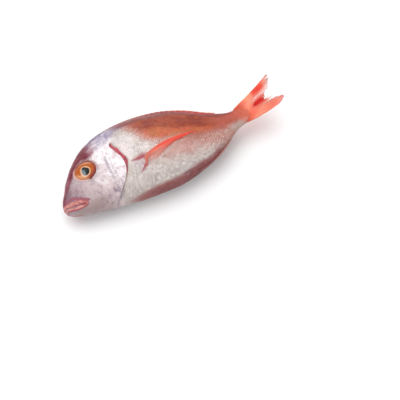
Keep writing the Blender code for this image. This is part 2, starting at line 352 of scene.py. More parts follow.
# %% [markdown]
# ## Ragged edges for colour fields
#
# On a fish no colour stops at a clean line. This group takes a smooth mask and pushes it about with
# noise, so that its edge breaks up into blotches. Most colour fields of the skin go through it, so it is a
# node group with a strength and a scale.

# %% Ragged mask group
ragged, taken, given = new_group(
    "ragged_mask",
    {
        "Mask": ("Float", 0.0),
        "Vector": ("Vector", None),
        "Scale": ("Float", 120.0),
        "Strength": ("Float", 0.5),
    },
    {"Mask": "Float"},
)
noise = ragged.nodes.new("ShaderNodeTexNoise")
noise.inputs["Detail"].default_value = 4.0
noise.inputs["Roughness"].default_value = 0.62
ragged.links.new(taken["Vector"], noise.inputs["Vector"])
ragged.links.new(taken["Scale"], noise.inputs["Scale"])
centred = add_math(ragged, "SUBTRACT", noise.outputs["Fac"], 0.5)
strong = add_math(ragged, "MULTIPLY", centred, taken["Strength"])
# The push is strongest where the mask is half way, and nothing where it is empty or full
room = add_math(ragged, "MULTIPLY", taken["Mask"], add_math(ragged, "SUBTRACT", 1.0, taken["Mask"]))
push = add_math(ragged, "MULTIPLY", strong, add_math(ragged, "MULTIPLY", room, 8.0))
ragged.links.new(add_math(ragged, "ADD", taken["Mask"], push, clamp=True), given["Mask"])
print("ragged mask group has", len(ragged.nodes), "nodes")

# %% [markdown]
# ## Scales as a rule
#
# Scales sit in rows like roof tiles, each row half a scale out of step with the next, and their round
# free edges point to the tail. One formula gives how far a point lies across its own scale: 0 where the
# scale comes out from under the one before, and 1 at its free edge. The same formula lifts the mesh here
# and shades it in the material.

# %% Scale pattern
SCALE_LENGTH = 0.0024
SCALE_ARC = 0.34


def scale_phase(along, across):
    """Place across a scale, from 0 at its covered root to 1 at its free edge."""
    row = np.floor(across)
    bulge = (2 * (across - row) - 1) ** 2
    return np.mod(along + 0.5 * np.mod(row, 2) + SCALE_ARC * bulge, 1.0)


scales, taken, given = new_group(
    "scale_pattern",
    {"Along": ("Float", 0.0), "Across": ("Float", 0.0)},
    {"Phase": "Float", "Tone": "Float"},
)
row = add_math(scales, "FLOOR", taken["Across"])
from_middle = add_math(scales, "MULTIPLY", add_math(scales, "FRACT", taken["Across"]), 2.0)
from_middle = add_math(scales, "SUBTRACT", from_middle, 1.0)
squared = add_math(scales, "POWER", add_math(scales, "ABSOLUTE", from_middle), 2.0)
bulge = add_math(scales, "MULTIPLY", squared, SCALE_ARC)
stagger = add_math(scales, "MULTIPLY", add_math(scales, "MODULO", row, 2.0), 0.5)
place = add_math(scales, "ADD", add_math(scales, "ADD", taken["Along"], stagger), bulge)
phase = add_math(scales, "FRACT", place)
number = scales.nodes.new("ShaderNodeCombineXYZ")
scales.links.new(add_math(scales, "FLOOR", place), number.inputs[0])
scales.links.new(row, number.inputs[1])
chance = scales.nodes.new("ShaderNodeTexWhiteNoise")
scales.links.new(number.outputs[0], chance.inputs["Vector"])
scales.links.new(phase, given["Phase"])
scales.links.new(chance.outputs["Value"], given["Tone"])
print("scale pattern group has", len(scales.nodes), "nodes")

# %% [markdown]
# ## The skin as one closed shape
#
# Head and trunk grow together, so the skin is one mesh. It starts as a UV sphere, whose rings become
# sections of the fish and whose poles are the snout and the root of the tail. Rings near the gill cover
# lean forward, so that they run along its free edge, and lie closer together where the shape turns fast.

# %% Rings of the skin
GILL_EDGE = np.array(
    (
        (-0.135, 0.165),
        (-0.107, 0.199),
        (-0.066, 0.248),
        (-0.034, 0.273),
        (-0.005, 0.288),
        (0.023, 0.292),
        (0.064, 0.284),
        (0.102, 0.280),
        (0.126, 0.290),
        (0.150, 0.294),
    )
) * SPAN
GILL_REAR = GILL_EDGE[:, 1].max()
GILL_TOP, GILL_BOTTOM, GILL_FADE = 0.122 * SPAN, -0.112 * SPAN, 0.012 * SPAN
COLLAR = (0.05 * SPAN, 0.52 * SPAN)
AROUND = 270
RINGS = 356
# Behind the gill cover's edge: distance, height of the skin, and how far the edge hangs over the slit
SLIT = np.array(
    (
        (-0.0300, 0.0, 0.0),
        (-0.0060, 0.0008, 0.0),
        (-0.0010, 0.0010, 0.0),
        (-0.0003, 0.0009, 0.0),
        (0.0000, 0.0005, 0.0),
        (0.0003, -0.0002, -0.0007),
        (0.0008, -0.0016, -0.0011),
        (0.0036, -0.0015, -0.0002),
        (0.0050, 0.0003, 0.0),
        (0.0070, 0.0004, 0.0),
        (0.0150, 0.0, 0.0),
    )
)


def ring_places():
    """Distances of the rings from the snout, closer together on the head and at the gill slit."""
    fine = np.linspace(0, HULL_END, 4000)
    close = 1.9 - 0.9 * smooth(0.31 * SPAN, 0.40 * SPAN, fine)
    close = close + 4.0 * np.exp(-(((fine - GILL_REAR - 0.0010) / 0.0022) ** 2))
    close = close + 2.5 * np.exp(-((fine / 0.010) ** 2))
    total = np.concatenate(((0,), np.cumsum(close[:-1])))
    places = np.interp(np.linspace(0, total[-1], RINGS + 1), total, fine)
    return places


def lean(ring, around):
    """Moves rings near the gill cover forward, so that they follow its edge."""
    start, end = COLLAR
    pull = np.where(ring < GILL_REAR, smooth(start, GILL_REAR, ring), 1 - smooth(GILL_REAR, end, ring))
    x = ring
    for _ in range(3):
        y, _z = flank(x, around)
        x = ring + pull * (spline(y, GILL_EDGE[:, 0], GILL_EDGE[:, 1]) - GILL_REAR)
    return x


rings = ring_places()
spacing = np.diff(rings) * 1000
print("ring spacing in mm:", round(spacing.min(), 2), "to", round(spacing.max(), 2))


# %% Wrap the sphere
def wrapped_sphere(columns, rows):
    """A sphere as a bmesh, with each vertex's row and angle."""
    bm = bmesh.new()
    bmesh.ops.create_uvsphere(bm, u_segments=columns, v_segments=rows, radius=1.0)
    ball = np.array([vert.co for vert in bm.verts])
    polar = np.arccos(np.clip(ball[:, 2], -1, 1)) / math.pi
    return bm, np.rint(polar * rows).astype(int), np.arctan2(ball[:, 1], ball[:, 0])


def place_vertices(bm, points):
    for vert, point in zip(bm.verts, points):
        vert.co = point


def normals_of(bm):
    bmesh.ops.recalc_face_normals(bm, faces=bm.faces[:])
    bm.normal_update()
    return np.array([vert.normal for vert in bm.verts])


skin_bm, row_number, around = wrapped_sphere(AROUND, RINGS)
ring = rings[row_number]
x = lean(ring, around)
y, z = flank(x, around)
z = z * (1 - 0.55 * smooth(0.78 * SPAN, 0.86 * SPAN, x))
hull = np.stack((x, y, z), axis=1)
place_vertices(skin_bm, hull)
outward = normals_of(skin_bm)
print("skin vertices:", len(hull))

# %% [markdown]
# ## The gill slit
#
# The gill cover is a thin hard plate with a free edge that stands off the body. Behind it the skin dips
# into the slit and rises again at the shoulder. The edge also hangs over the slit, so part of the skin
# moves forward as well as in. The slit fades out near the nape and under the throat.

# %% Open the slit
behind = ring - GILL_REAR
inside = smooth(GILL_BOTTOM, GILL_BOTTOM + GILL_FADE, y) * (1 - smooth(GILL_TOP - GILL_FADE, GILL_TOP, y))
# How wide the slit gapes at each height, as share of the span and in metres
SLIT_WIDTH = np.array(
    (
        (-0.110, 0.0006),
        (-0.060, 0.0007),
        (-0.036, 0.0011),
        (-0.019, 0.0019),
        (0.000, 0.0030),
        (0.019, 0.0036),
        (0.040, 0.0042),
        (0.060, 0.0036),
        (0.081, 0.0044),
        (0.100, 0.0038),
        (0.116, 0.0014),
        (0.124, 0.0006),
    )
)
SLIT_FORWARD = 0.0017
SLIT_FULL_WIDTH = 0.0036
SLIT_LEAST_WIDTH = 0.0011
SLIT_WAVE = 0.0027
slit_width = np.interp(y / SPAN, SLIT_WIDTH[:, 0], SLIT_WIDTH[:, 1])
slit_width = slit_width * (1 + 0.22 * np.sin(y / SLIT_WAVE + 0.8) * smooth(-0.03, 0.0, y / SPAN))
gape = smooth(0.0005, 0.0022, slit_width)
shrunk = behind * SLIT_FULL_WIDTH / np.maximum(slit_width, SLIT_LEAST_WIDTH)
slit_run = np.where(behind > 0, shrunk, behind)
slit_height = np.interp(slit_run, SLIT[:, 0], SLIT[:, 1])
slit_height = np.where(slit_height < 0, slit_height * (0.3 + 0.7 * gape), slit_height)
slit_shift = np.interp(slit_run, SLIT[:, 0], SLIT[:, 2])
relief = slit_height * inside
upper_part = smooth(-0.040, 0.010, y / SPAN)
shift = (slit_shift - SLIT_FORWARD * upper_part * np.exp(-((behind / 0.009) ** 2))) * inside
print("slit depth in mm:", round(float(-relief.min() * 1000), 2))

# %% [markdown]
# ## Folds and plates of the head
#
# Under the thin skin of the head lie bony plates, whose edges show as shallow creases. Each crease is a
# short path in the side view. The function below measures how far every skin vertex is from such a path,
# and a bell curve of that distance presses the crease in. Seen from one side of its path the skin can
# also stand a bit higher, as where one plate laps over the next.


# %% Creases of the head
def distance_to_path(px, py, path):
    """Distance of each point to a path of straight pieces, and on which side of it the point lies."""
    best = np.full(len(px), 1.0)
    side = np.zeros(len(px))
    path = np.array(path) * SPAN
    for (ax, ay), (bx, by) in zip(path[:-1], path[1:]):
        run = np.array((bx - ax, by - ay))
        length = max(float(run @ run), 1e-12)
        t = np.clip(((px - ax) * run[0] + (py - ay) * run[1]) / length, 0, 1)
        dx, dy = px - ax - t * run[0], py - ay - t * run[1]
        away = np.hypot(dx, dy)
        closer = away < best
        best = np.where(closer, away, best)
        side = np.where(closer, np.sign(run[0] * dy - run[1] * dx), side)
    return best, side


def curve_through(points, count=24):
    """A smooth path through a few points of the side view."""
    points = np.array(points, float)
    knots = np.concatenate(((0,), np.cumsum(np.linalg.norm(np.diff(points, axis=0), axis=1))))
    at = np.linspace(0, knots[-1], count)
    return np.stack([spline(at, knots, points[:, axis]) for axis in (0, 1)], axis=1)


# Path, width and depth in metres, and how much higher the skin is on the rear side
CREASES = {
    "cheek_bone_rear": (
        ((0.232, 0.066), (0.228, 0.048), (0.223, 0.020), (0.217, -0.025)),
        0.0016,
        0.0006,
        0.0002,
    ),
    "cheek_bone_fold": (
        ((0.246, 0.050), (0.236, 0.010), (0.234, -0.029), (0.236, -0.060)),
        0.0014,
        0.0004,
        0.0001,
    ),
    "cheek_bone_corner": (
        (
            (0.217, -0.030),
            (0.222, -0.055),
            (0.212, -0.078),
            (0.189, -0.088),
            (0.160, -0.087),
            (0.141, -0.079),
        ),
        0.0018,
        0.0003,
        0.0,
    ),
    "throat_plate": (
        ((0.236, -0.070), (0.229, -0.085), (0.221, -0.100), (0.205, -0.107), (0.189, -0.111)),
        0.0013,
        0.0005,
        0.0,
    ),
    "behind_eye": (((0.144, 0.012), (0.141, -0.009)), 0.0014, 0.0005, 0.0),
    "jaw_edge": (((0.030, -0.062), (0.070, -0.078), (0.110, -0.090), (0.150, -0.098)), 0.0014, 0.0003, 0.0),
    "snout_fold": (
        (
            (0.006, -0.019),
            (0.025, -0.014),
            (0.042, -0.015),
            (0.062, -0.026),
            (0.076, -0.041),
            (0.092, -0.054),
        ),
        0.0014,
        0.0009,
        0.0,
    ),
}
# A crease of this depth or more is shaded in full
FULL_SHADE_DEPTH = 0.0007
crease_shade = np.zeros(len(hull))
for name, (points, width, depth, step_up) in CREASES.items():
    away, side = distance_to_path(x, y, curve_through(points))
    bell = np.exp(-((away / width) ** 2))
    relief = relief - depth * bell + step_up * side * np.exp(-((away / (3 * width)) ** 2))
    crease_shade = np.maximum(crease_shade, bell * min(depth / FULL_SHADE_DEPTH, 1.0))
    print("pressed in", name)

# %% [markdown]
# ## Eye sockets and nostrils
#
# The eyeball fills a round socket with a soft rim. The skin drops away inside a circle around the eye's
# axis, and swells just outside it. Vertices near the circle slide onto it, so that the rim is round
# although the mesh's rows cross it at a slant. Two small pits in front of the eye are the nostrils.

# %% Sockets
EYE_CENTRE = (0.145 * SPAN, 0.060 * SPAN)
EYE_RADIUS = 0.0140
EYE_HALF_DEPTH = 0.0062
EYE_STAND_OUT = 0.0029
EYE_FACING = Vector((-0.23, 0.22, 0.95)).normalized()
EYE_OPENING = 0.0121
SOCKET_DEPTH = 0.0042


def eye_place(side_sign):
    """Middle of an eyeball, and the way that it looks, in the swimming pose."""
    depth = float(skin_z(*EYE_CENTRE)) + EYE_STAND_OUT - EYE_HALF_DEPTH
    facing = np.array((EYE_FACING.x, EYE_FACING.y, side_sign * EYE_FACING.z))
    return np.array((EYE_CENTRE[0], EYE_CENTRE[1], side_sign * depth)), facing


points = hull.copy()
points[:, 0] += shift
points = points + outward * relief[:, None]
eye_ring = np.zeros(len(hull))
eye_turn = np.zeros(len(hull))
for side_sign in (1, -1):
    middle, facing = eye_place(side_sign)
    near = (np.sign(z) == side_sign) & (np.hypot(x - middle[0], y - middle[1]) < 0.030)
    offset = points - middle
    along_axis = offset @ facing
    flat = offset - along_axis[:, None] * facing
    away = np.linalg.norm(flat, axis=1)
    snap = smooth(0.0, 0.0007, np.abs(away - EYE_OPENING))
    new_away = EYE_OPENING + (away - EYE_OPENING) * snap
    flat = flat * (new_away / np.maximum(away, 1e-6))[:, None]
    sink = SOCKET_DEPTH * (1 - smooth(EYE_OPENING - 0.0014, EYE_OPENING + 0.0001, new_away))
    swell = 0.0008 * np.exp(-(((new_away - EYE_OPENING - 0.0010) / 0.0011) ** 2))
    moat = -0.0005 * np.exp(-(((new_away - EYE_OPENING - 0.0036) / 0.0014) ** 2))
    moved = middle + flat + (along_axis + swell + moat - sink)[:, None] * facing
    points = np.where(near[:, None], moved, points)
    eye_ring = np.where(near, new_away, eye_ring)
    eye_turn = np.where(near, np.arctan2(flat[:, 1], flat[:, 0]), eye_turn)
NOSTRILS = ((0.092, 0.088, 0.0011), (0.100, 0.096, 0.0008))
for share_x, share_y, size in NOSTRILS:
    away = np.hypot(x - share_x * SPAN, y - share_y * SPAN)
    points = points - outward * (0.0011 * np.exp(-((away / size) ** 2)))[:, None]
    points = points + outward * (0.0003 * np.exp(-(((away - 1.9 * size) / size) ** 2)))[:, None]
print("socket vertices:", int((eye_ring > 0).sum()))

# %% [markdown]
# ## Scales, side line and soft unevenness
#
# The rows of scales are counted from the middle of the flank, along the curved skin, so that they stay
# equally tall up to the back. They get smaller towards the tail. The side line is a thin raised seam that
# follows the back at a third of the depth. A few slow waves keep the flank from looking turned on a
# lathe.


# %% Fine relief
def arc_from_middle(x, around):
    """Distance over the skin from the middle of the flank, positive towards the back."""
    start = np.full(len(x), math.pi / 2)
    turn = np.abs(around)
    total = np.zeros(len(x))
    last = flank(x, start)
    for share in np.linspace(0, 1, 13)[1:]:
        now = flank(x, start + (turn - start) * share)
        total += np.hypot(now[0] - last[0], now[1] - last[1])
        last = now
    return np.where(turn < math.pi / 2, total, -total)


share_x, share_y = x / SPAN, y / SPAN
arc = arc_from_middle(x, around)
shrink = 1 - 0.40 * smooth(0.45, 0.82, share_x)
scale_along = x / (SCALE_LENGTH * 0.82) + 0.10 * arc / SCALE_LENGTH
scale_across = arc / (SCALE_LENGTH * shrink) + 40.0
scaled = smooth(0.0045, 0.0100, behind) * (1 - smooth(0.62, 0.84, share_x))
crown_scales = smooth(0.115, 0.135, share_y) * smooth(0.20, 0.25, share_x)
scaled = np.maximum(scaled, crown_scales * (behind < 0.008))
phase = scale_phase(scale_along, scale_across)
wave = np.sin(math.pi * phase) * 0.00005
SIDE_LINE = (
    (0.290, 0.132),
    (0.339, 0.146),
    (0.386, 0.139),
    (0.445, 0.122),
    (0.558, 0.081),
    (0.665, 0.024),
    (0.742, -0.005),
    (0.830, -0.012),
)
side_away, _side = distance_to_path(x, y, curve_through(SIDE_LINE, 40))
side_line = np.exp(-((side_away / 0.0008) ** 2))


def slow_waves(x, y, size, count, seed):
    """A sum of soft waves in all directions, between about -1 and 1."""
    chance = np.random.default_rng(seed)
    total = np.zeros(len(x))
    for _ in range(count):
        turn, start = chance.uniform(0, 2 * math.pi, 2)
        length = size * chance.uniform(0.7, 1.6)
        total += np.sin((x * math.cos(turn) + y * math.sin(turn)) * 2 * math.pi / length + start)
    return total / math.sqrt(count / 2) / 1.6


unevenness = 0.00022 * slow_waves(x, y, 0.030, 9, 3) + 0.00010 * slow_waves(x, y, 0.011, 9, 4)
off_eye = np.where(eye_ring > 0, smooth(EYE_OPENING, EYE_OPENING + 0.003, eye_ring), 1.0)
calm = smooth(0.0, 0.03, share_x) * (1 - smooth(0.80, 0.86, share_x)) * off_eye
side_line = side_line * smooth(0.27, 0.30, share_x) * (1 - smooth(0.70, 0.78, share_x))
fine = (scaled * wave + 0.00018 * side_line + unevenness) * calm
points = points + outward * fine[:, None]
laid_skin = lay_down(points)
place_vertices(skin_bm, laid_skin)
print("skin box in mm:", (laid_skin.min(axis=0) * 1000).round(1), (laid_skin.max(axis=0) * 1000).round(1))


# %% Make pieces out of meshes
def add_piece(name, bm, replaced):
    """Turns a bmesh into a finished piece that rides with the fish."""
    bmesh.ops.recalc_face_normals(bm, faces=bm.faces[:])
    mesh = bpy.data.meshes.new(name)
    bm.to_mesh(mesh)
    bm.free()
    mesh.shade_smooth()
    piece = bpy.data.objects.new(name, mesh)
    scene.collection.objects.link(piece)
    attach(piece, "root")
    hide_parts(replaced)
    return piece


def paint(piece, name, values):
    """Stores one number or one vector for each vertex, for the material to read."""
    values = np.asarray(values, np.float32)
    kind = "FLOAT" if values.ndim == 1 else "FLOAT_VECTOR"
    layer = piece.data.attributes.new(name, kind, "POINT")
    layer.data.foreach_set("value" if values.ndim == 1 else "vector", values.ravel())


skin = add_piece("skin", skin_bm, "fish")
print("skin triangles:", sum(len(face.vertices) - 2 for face in skin.data.polygons))

# %% [markdown]
# ## Where each colour lies
#
# The fish is coral and brick red along its back, pink on the flank and silver below, with a violet nape
# and a silvery face. Each colour gets a field of its own: a number per vertex that is 1 where the colour
# rules. Fields are drawn in the side view with lines and soft ovals. The material later frays their
# edges.


# %% Colour fields
def height_at(line):
    """Height of a line of the side view below or above each vertex, as a share of the span."""
    line = np.array(line)
    return np.interp(share_x, line[:, 0], line[:, 1])


def oval(centre, size, degrees=0.0):
    """A soft oval patch of the side view, 1 in its middle."""
    dx, dy = share_x - centre[0], share_y - centre[1]
    turn = math.radians(degrees)
    u = (dx * math.cos(turn) + dy * math.sin(turn)) / size[0]
    v = (dy * math.cos(turn) - dx * math.sin(turn)) / size[1]
    return np.exp(-(u * u + v * v))


RIDGE_LINE = ((0.354, 0.166), (0.469, 0.158), (0.567, 0.127), (0.684, 0.046), (0.720, 0.018), (0.80, 0.008))
BRICK_LINE = ((0.33, 0.125), (0.391, 0.107), (0.452, 0.094), (0.506, 0.069), (0.576, 0.032), (0.70, -0.02))
ORANGE_LINE = ((0.36, 0.060), (0.419, 0.038), (0.474, 0.018), (0.541, 0.008), (0.617, -0.018), (0.80, -0.040))
BELLY_LINE = (
    (0.20, -0.123),
    (0.275, -0.127),
    (0.346, -0.131),
    (0.444, -0.139),
    (0.60, -0.118),
    (0.75, -0.062),
)
NAPE_LINE = ((0.15, 0.125), (0.19, 0.148), (0.22, 0.165), (0.25, 0.180), (0.30, 0.196), (0.36, 0.205))
BROW = (
    (0.000, -0.040),
    (0.013, -0.018),
    (0.041, 0.020),
    (0.055, 0.032),
    (0.082, 0.058),
    (0.123, 0.102),
    (0.153, 0.116),
    (0.172, 0.105),
    (0.190, 0.101),
    (0.211, 0.114),
    (0.226, 0.137),
    (0.250, 0.180),
)
head_width = 0.0010 + 0.012 * (1 - inside)
head = 1 - smooth(-head_width * 0.3, head_width, behind)
ridge_up = height_at(RIDGE_LINE)
fields = {
    "head": head,
    "ridge": smooth(ridge_up - 0.012, ridge_up + 0.014, share_y) * smooth(0.26, 0.36, share_x),
    "brick": smooth(height_at(BRICK_LINE) - 0.022, height_at(BRICK_LINE) + 0.016, share_y)
    * smooth(0.34, 0.44, share_x + 0.25 * (share_y - 0.12)),
    "orange": smooth(height_at(ORANGE_LINE) - 0.020, height_at(ORANGE_LINE) + 0.022, share_y)
    * smooth(0.35, 0.45, share_x + 0.3 * (share_y - 0.06)),
    "pink": smooth(-0.115, -0.045, share_y + 0.12 * (share_x - 0.5)) * smooth(0.34, 0.50, share_x),
    "rosy": smooth(-0.075, -0.005, share_y) * smooth(0.46, 0.62, share_x),
    # Lower cheek, darker towards the throat with painted shade; the cheek streaks also stay in it
    "shaded_jowl": 1 - smooth(-0.085, 0.045, share_y + 0.35 * (share_x - 0.18)),
    # Belly band: partly its own darker tone, partly painted shade on the underside
    "belly": (1 - smooth(height_at(BELLY_LINE) - 0.010, height_at(BELLY_LINE) + 0.006, share_y))
    * (1 - 0.85 * smooth(0.63, 0.71, share_x)),
    # Lowest strip of the belly, darkest: partly its own tone, partly painted shade
    "shaded_keel": (1 - smooth(height_at(BELLY_LINE) - 0.024, height_at(BELLY_LINE) - 0.006, share_y))
    * (1 - smooth(0.60, 0.68, share_x)) * smooth(0.19, 0.27, share_x),
    "nape": oval((0.285, 0.178), (0.070, 0.026)) + 0.8 * oval((0.262, 0.146), (0.040, 0.016), 10),
    "nape_edge": smooth(height_at(NAPE_LINE) - 0.008, height_at(NAPE_LINE) + 0.020, share_y)
    * smooth(0.16, 0.21, share_x) * (1 - smooth(0.31, 0.38, share_x)),
    "shoulder": oval((0.345, 0.085), (0.040, 0.050), 30)
    + 0.8 * oval((0.385, 0.020), (0.035, 0.020))
    + oval((0.315, 0.030), (0.026, 0.060)),
    "crown": smooth(ridge_up + 0.020, ridge_up + 0.040, share_y)
    * smooth(0.30, 0.38, share_x) * (1 - smooth(0.66, 0.74, share_x)),
    "heel": oval((0.780, -0.054), (0.070, 0.016), 5) * (1 - smooth(0.815, 0.840, share_x)),
    "peduncle": smooth(0.655, 0.72, share_x) * smooth(-0.050, -0.028, share_y),
    "snout": (1 - smooth(0.03, 0.11, share_x)) * smooth(-0.07, -0.02, share_y),
    "red_ridge": oval((0.66, 0.095), (0.060, 0.030), -38)
    * smooth(ridge_up + 0.004, ridge_up + 0.020, share_y),
    # Painted shade on the chin, the underside of the head
    "shaded_chin": (1 - smooth(0.10, 0.20, share_x)) * (1 - smooth(-0.075, -0.055, share_y)),
    "shadow": np.clip(crease_shade, 0, 1),
    "fin_pit": 0.5 * oval((0.328, -0.034), (0.010, 0.020), 80),
}


def wedge(tip, base, half_width):
    """A soft wedge of the side view, from its tip to its wide base."""
    run = np.array(base) - np.array(tip)
    length = np.hypot(*run)
    run = run / length
    along = ((share_x - tip[0]) * run[0] + (share_y - tip[1]) * run[1]) / length
    across = np.abs((share_x - tip[0]) * run[1] - (share_y - tip[1]) * run[0])
    width = half_width * np.clip(along, 0.08, 1) ** 0.7
    return np.exp(-((across / width) ** 2)) * smooth(-0.05, 0.10, along) * (1 - smooth(0.90, 1.25, along))


fields["fin_spurs"] = wedge((0.308, -0.010), (0.366, -0.014), 0.016)
fields["fin_spurs"] = fields["fin_spurs"] + wedge((0.315, -0.071), (0.356, -0.046), 0.009)
brow_up = height_at(BROW)
fields["brow"] = smooth(brow_up - 0.008, brow_up + 0.012, share_y) * (1 - smooth(0.175, 0.250, share_x))
lip_away, _side = distance_to_path(x, y, curve_through(CREASES["snout_fold"][0], 40))
jaw_away, _side = distance_to_path(x, y, ((0.060, -0.028), (0.078, -0.036), (0.096, -0.050)))
fields["lip_edge"] = np.exp(-((lip_away / 0.0016) ** 2)) + 0.7 * np.exp(-((jaw_away / 0.0010) ** 2))
fields["tail_base"] = smooth(0.765, 0.835, share_x + 0.6 * np.minimum(share_y + 0.020, 0))
# Front of the face, darker: partly its own lilac grey, partly painted shade
fields["face_front_tone_and_shade"] = (1 - smooth(0.10, 0.235, share_x + 0.25 * share_y)) * head
slit_end = 1 - smooth(slit_width * 0.75, slit_width * 1.15 + 0.0003, behind)
slit_place = smooth(-0.0006, 0.0002, behind) * slit_end * inside
crimson = smooth(0.0006, 0.0012, slit_width)
fields["gill"] = slit_place * crimson
# Painted shade: a grey line where the slit is too narrow to show the gills
fields["gill_slit_shade"] = slit_place * (1 - crimson)
rim_reach = 1 - smooth(EYE_OPENING - 0.0004, EYE_OPENING + 0.0015, eye_ring)
fields["eye_rim"] = np.where(eye_ring > 0, rim_reach, 0.0)
rim_light = smooth(0.15, 0.75, np.cos(eye_turn - math.radians(200)))
fields["eye_rim_pale"] = np.where(
    eye_ring > 0, np.exp(-(((eye_ring - EYE_OPENING - 0.0002) / 0.0012) ** 2)) * rim_light, 0.0
)
fields["orbit"] = np.where(
    eye_ring > 0,
    np.exp(-(((eye_ring - EYE_OPENING - 0.0012) / 0.0022) ** 2)) * (0.35 + 0.45 * np.cos(eye_turn - 1.1)),
    0.0,
)
for name, values in fields.items():
    paint(skin, name, np.clip(values, 0, 1))
paint(skin, "place", np.stack((x, y, z), axis=1))
paint(skin, "scale_place", np.stack((scale_along, scale_across, scaled), axis=1))
paint(skin, "side_line", side_line)
print("colour fields:", ", ".join(fields))

# %% [markdown]
# ## Wet fish skin
#
# Colour sits below a clear wet layer. The material starts with the silver of the lower flank and lays
# each colour over it through its frayed field. Scales differ a little in tone, carry a painted highlight
# along their free edge, and are partly metallic, as guanine crystals make them. A clear coat stands for
# the water and slime on top.

# %% Speckle group
speckle, taken, given = new_group(
    "speckle",
    {
        "Vector": ("Vector", None),
        "Scale": ("Float", 400.0),
        "Size": ("Float", 0.25),
        "Amount": ("Float", 0.5),
    },
    {"Mask": "Float"},
)
cells = speckle.nodes.new("ShaderNodeTexVoronoi")
speckle.links.new(taken["Vector"], cells.inputs["Vector"])
speckle.links.new(taken["Scale"], cells.inputs["Scale"])
dot = speckle.nodes.new("ShaderNodeMapRange")
dot.interpolation_type = "SMOOTHSTEP"
speckle.links.new(cells.outputs["Distance"], dot.inputs["Value"])
speckle.links.new(taken["Size"], dot.inputs["From Min"])
dot.inputs["From Max"].default_value = 0.05
split = speckle.nodes.new("ShaderNodeSeparateColor")
speckle.links.new(cells.outputs["Color"], split.inputs["Color"])
present = add_math(speckle, "LESS_THAN", split.outputs[0], taken["Amount"])
speckle.links.new(add_math(speckle, "MULTIPLY", dot.outputs[0], present), given["Mask"])
print("speckle group has", len(speckle.nodes), "nodes")

# %% Skin material
skin_look, tree, shader = new_material("wet_skin")
place = add_attribute(tree, "place").outputs["Vector"]
scale_split = tree.nodes.new("ShaderNodeSeparateXYZ")
tree.links.new(add_attribute(tree, "scale_place").outputs["Vector"], scale_split.inputs[0])
scale_node = add_group(tree, scales, Along=scale_split.outputs[0], Across=scale_split.outputs[1])
on_scales = scale_split.outputs[2]


def field(name, scale, strength):
    """One colour field with its edge frayed."""
    plain = add_attribute(tree, name).outputs["Fac"]
    return add_group(tree, ragged, Mask=plain, Vector=place, Scale=scale, Strength=strength).outputs["Mask"]


def spots(scale, size, amount):
    return add_group(tree, speckle, Vector=place, Scale=scale, Size=size, Amount=amount).outputs["Mask"]


colour = tone("b0a49d")
cloud = add_noise(tree, place, 60.0, 4.0, 0.6)
colour = add_mix(tree, add_range(tree, cloud, 0.40, 0.66), colour, tone("c4b8b2"))
colour = add_mix(tree, field("pink", 90.0, 0.8), colour, tone("b07060"))
colour = add_mix(tree, field("rosy", 90.0, 0.95), colour, tone("a05040"))
colour = add_mix(tree, field("orange", 110.0, 0.9), colour, tone("c6603e"))
gold_dots = add_math(tree, "MULTIPLY", add_attribute(tree, "orange").outputs["Fac"], spots(330.0, 0.42, 0.5))
gold_clouds = add_math(tree, "MULTIPLY", field("orange", 60.0, 1.0), add_range(tree, cloud, 0.48, 0.62))
golden = add_math(tree, "MAXIMUM", gold_dots, gold_clouds)
colour = add_mix(tree, add_math(tree, "MULTIPLY", golden, 0.50), colour, tone("b8743a"))
brick_tone = add_mix(tree, add_range(tree, cloud, 0.40, 0.62), tone("8e3420"), tone("a84a28"))
colour = add_mix(tree, field("brick", 100.0, 0.9), colour, brick_tone)
peduncle_tone = add_mix(tree, add_range(tree, cloud, 0.40, 0.62), tone("9c4034"), tone("b05646"))
colour = add_mix(tree, field("peduncle", 140.0, 0.8), colour, peduncle_tone)
colour = add_mix(tree, field("ridge", 120.0, 0.6), colour, tone("853a30"))
colour = add_mix(tree, field("crown", 130.0, 0.6), colour, tone("8c5256"))
colour = add_mix(tree, field("heel", 130.0, 0.8), colour, tone("ae948a"))
colour = add_mix(tree, field("red_ridge", 160.0, 0.5), colour, tone("a03c42"))
colour = add_mix(tree, field("shoulder", 120.0, 0.8), colour, tone("d4c9c6"))
# Belly: its own darker tone and painted shade on the underside
colour = add_mix(tree, field("belly", 160.0, 0.5), colour, tone("985a58"))
# Keel: its own dark tone and painted shade on the underside
colour = add_mix(tree, field("shaded_keel", 160.0, 0.7), colour, tone("743438"))
colour = add_mix(tree, field("tail_base", 120.0, 0.7), colour, tone("c4604c"))
print("nodes with the colours of the flank:", len(tree.nodes))

# %% [markdown]
# ## Light and dark on each scale
#
# Every scale has a tone of its own, a painted highlight along its free edge, and painted shade at its root,
# where it comes out from under the one before. The painted highlights fade where the skin is strongly
# coloured or rosy. Over the silver lie short glints and gaps of painted reflection, a noise that is finer
# along the rows than across them.

# %% Tones and edges of the scales
tint = add_range(tree, scale_node.outputs["Tone"], 0.0, 1.0, 0.88, 1.10)
lit = tree.nodes.new("ShaderNodeVectorMath")
lit.operation = "SCALE"
join(tree, colour, lit.inputs[0])
join(tree, tint, lit.inputs["Scale"])
colour = add_mix(tree, on_scales, colour, lit.outputs[0])
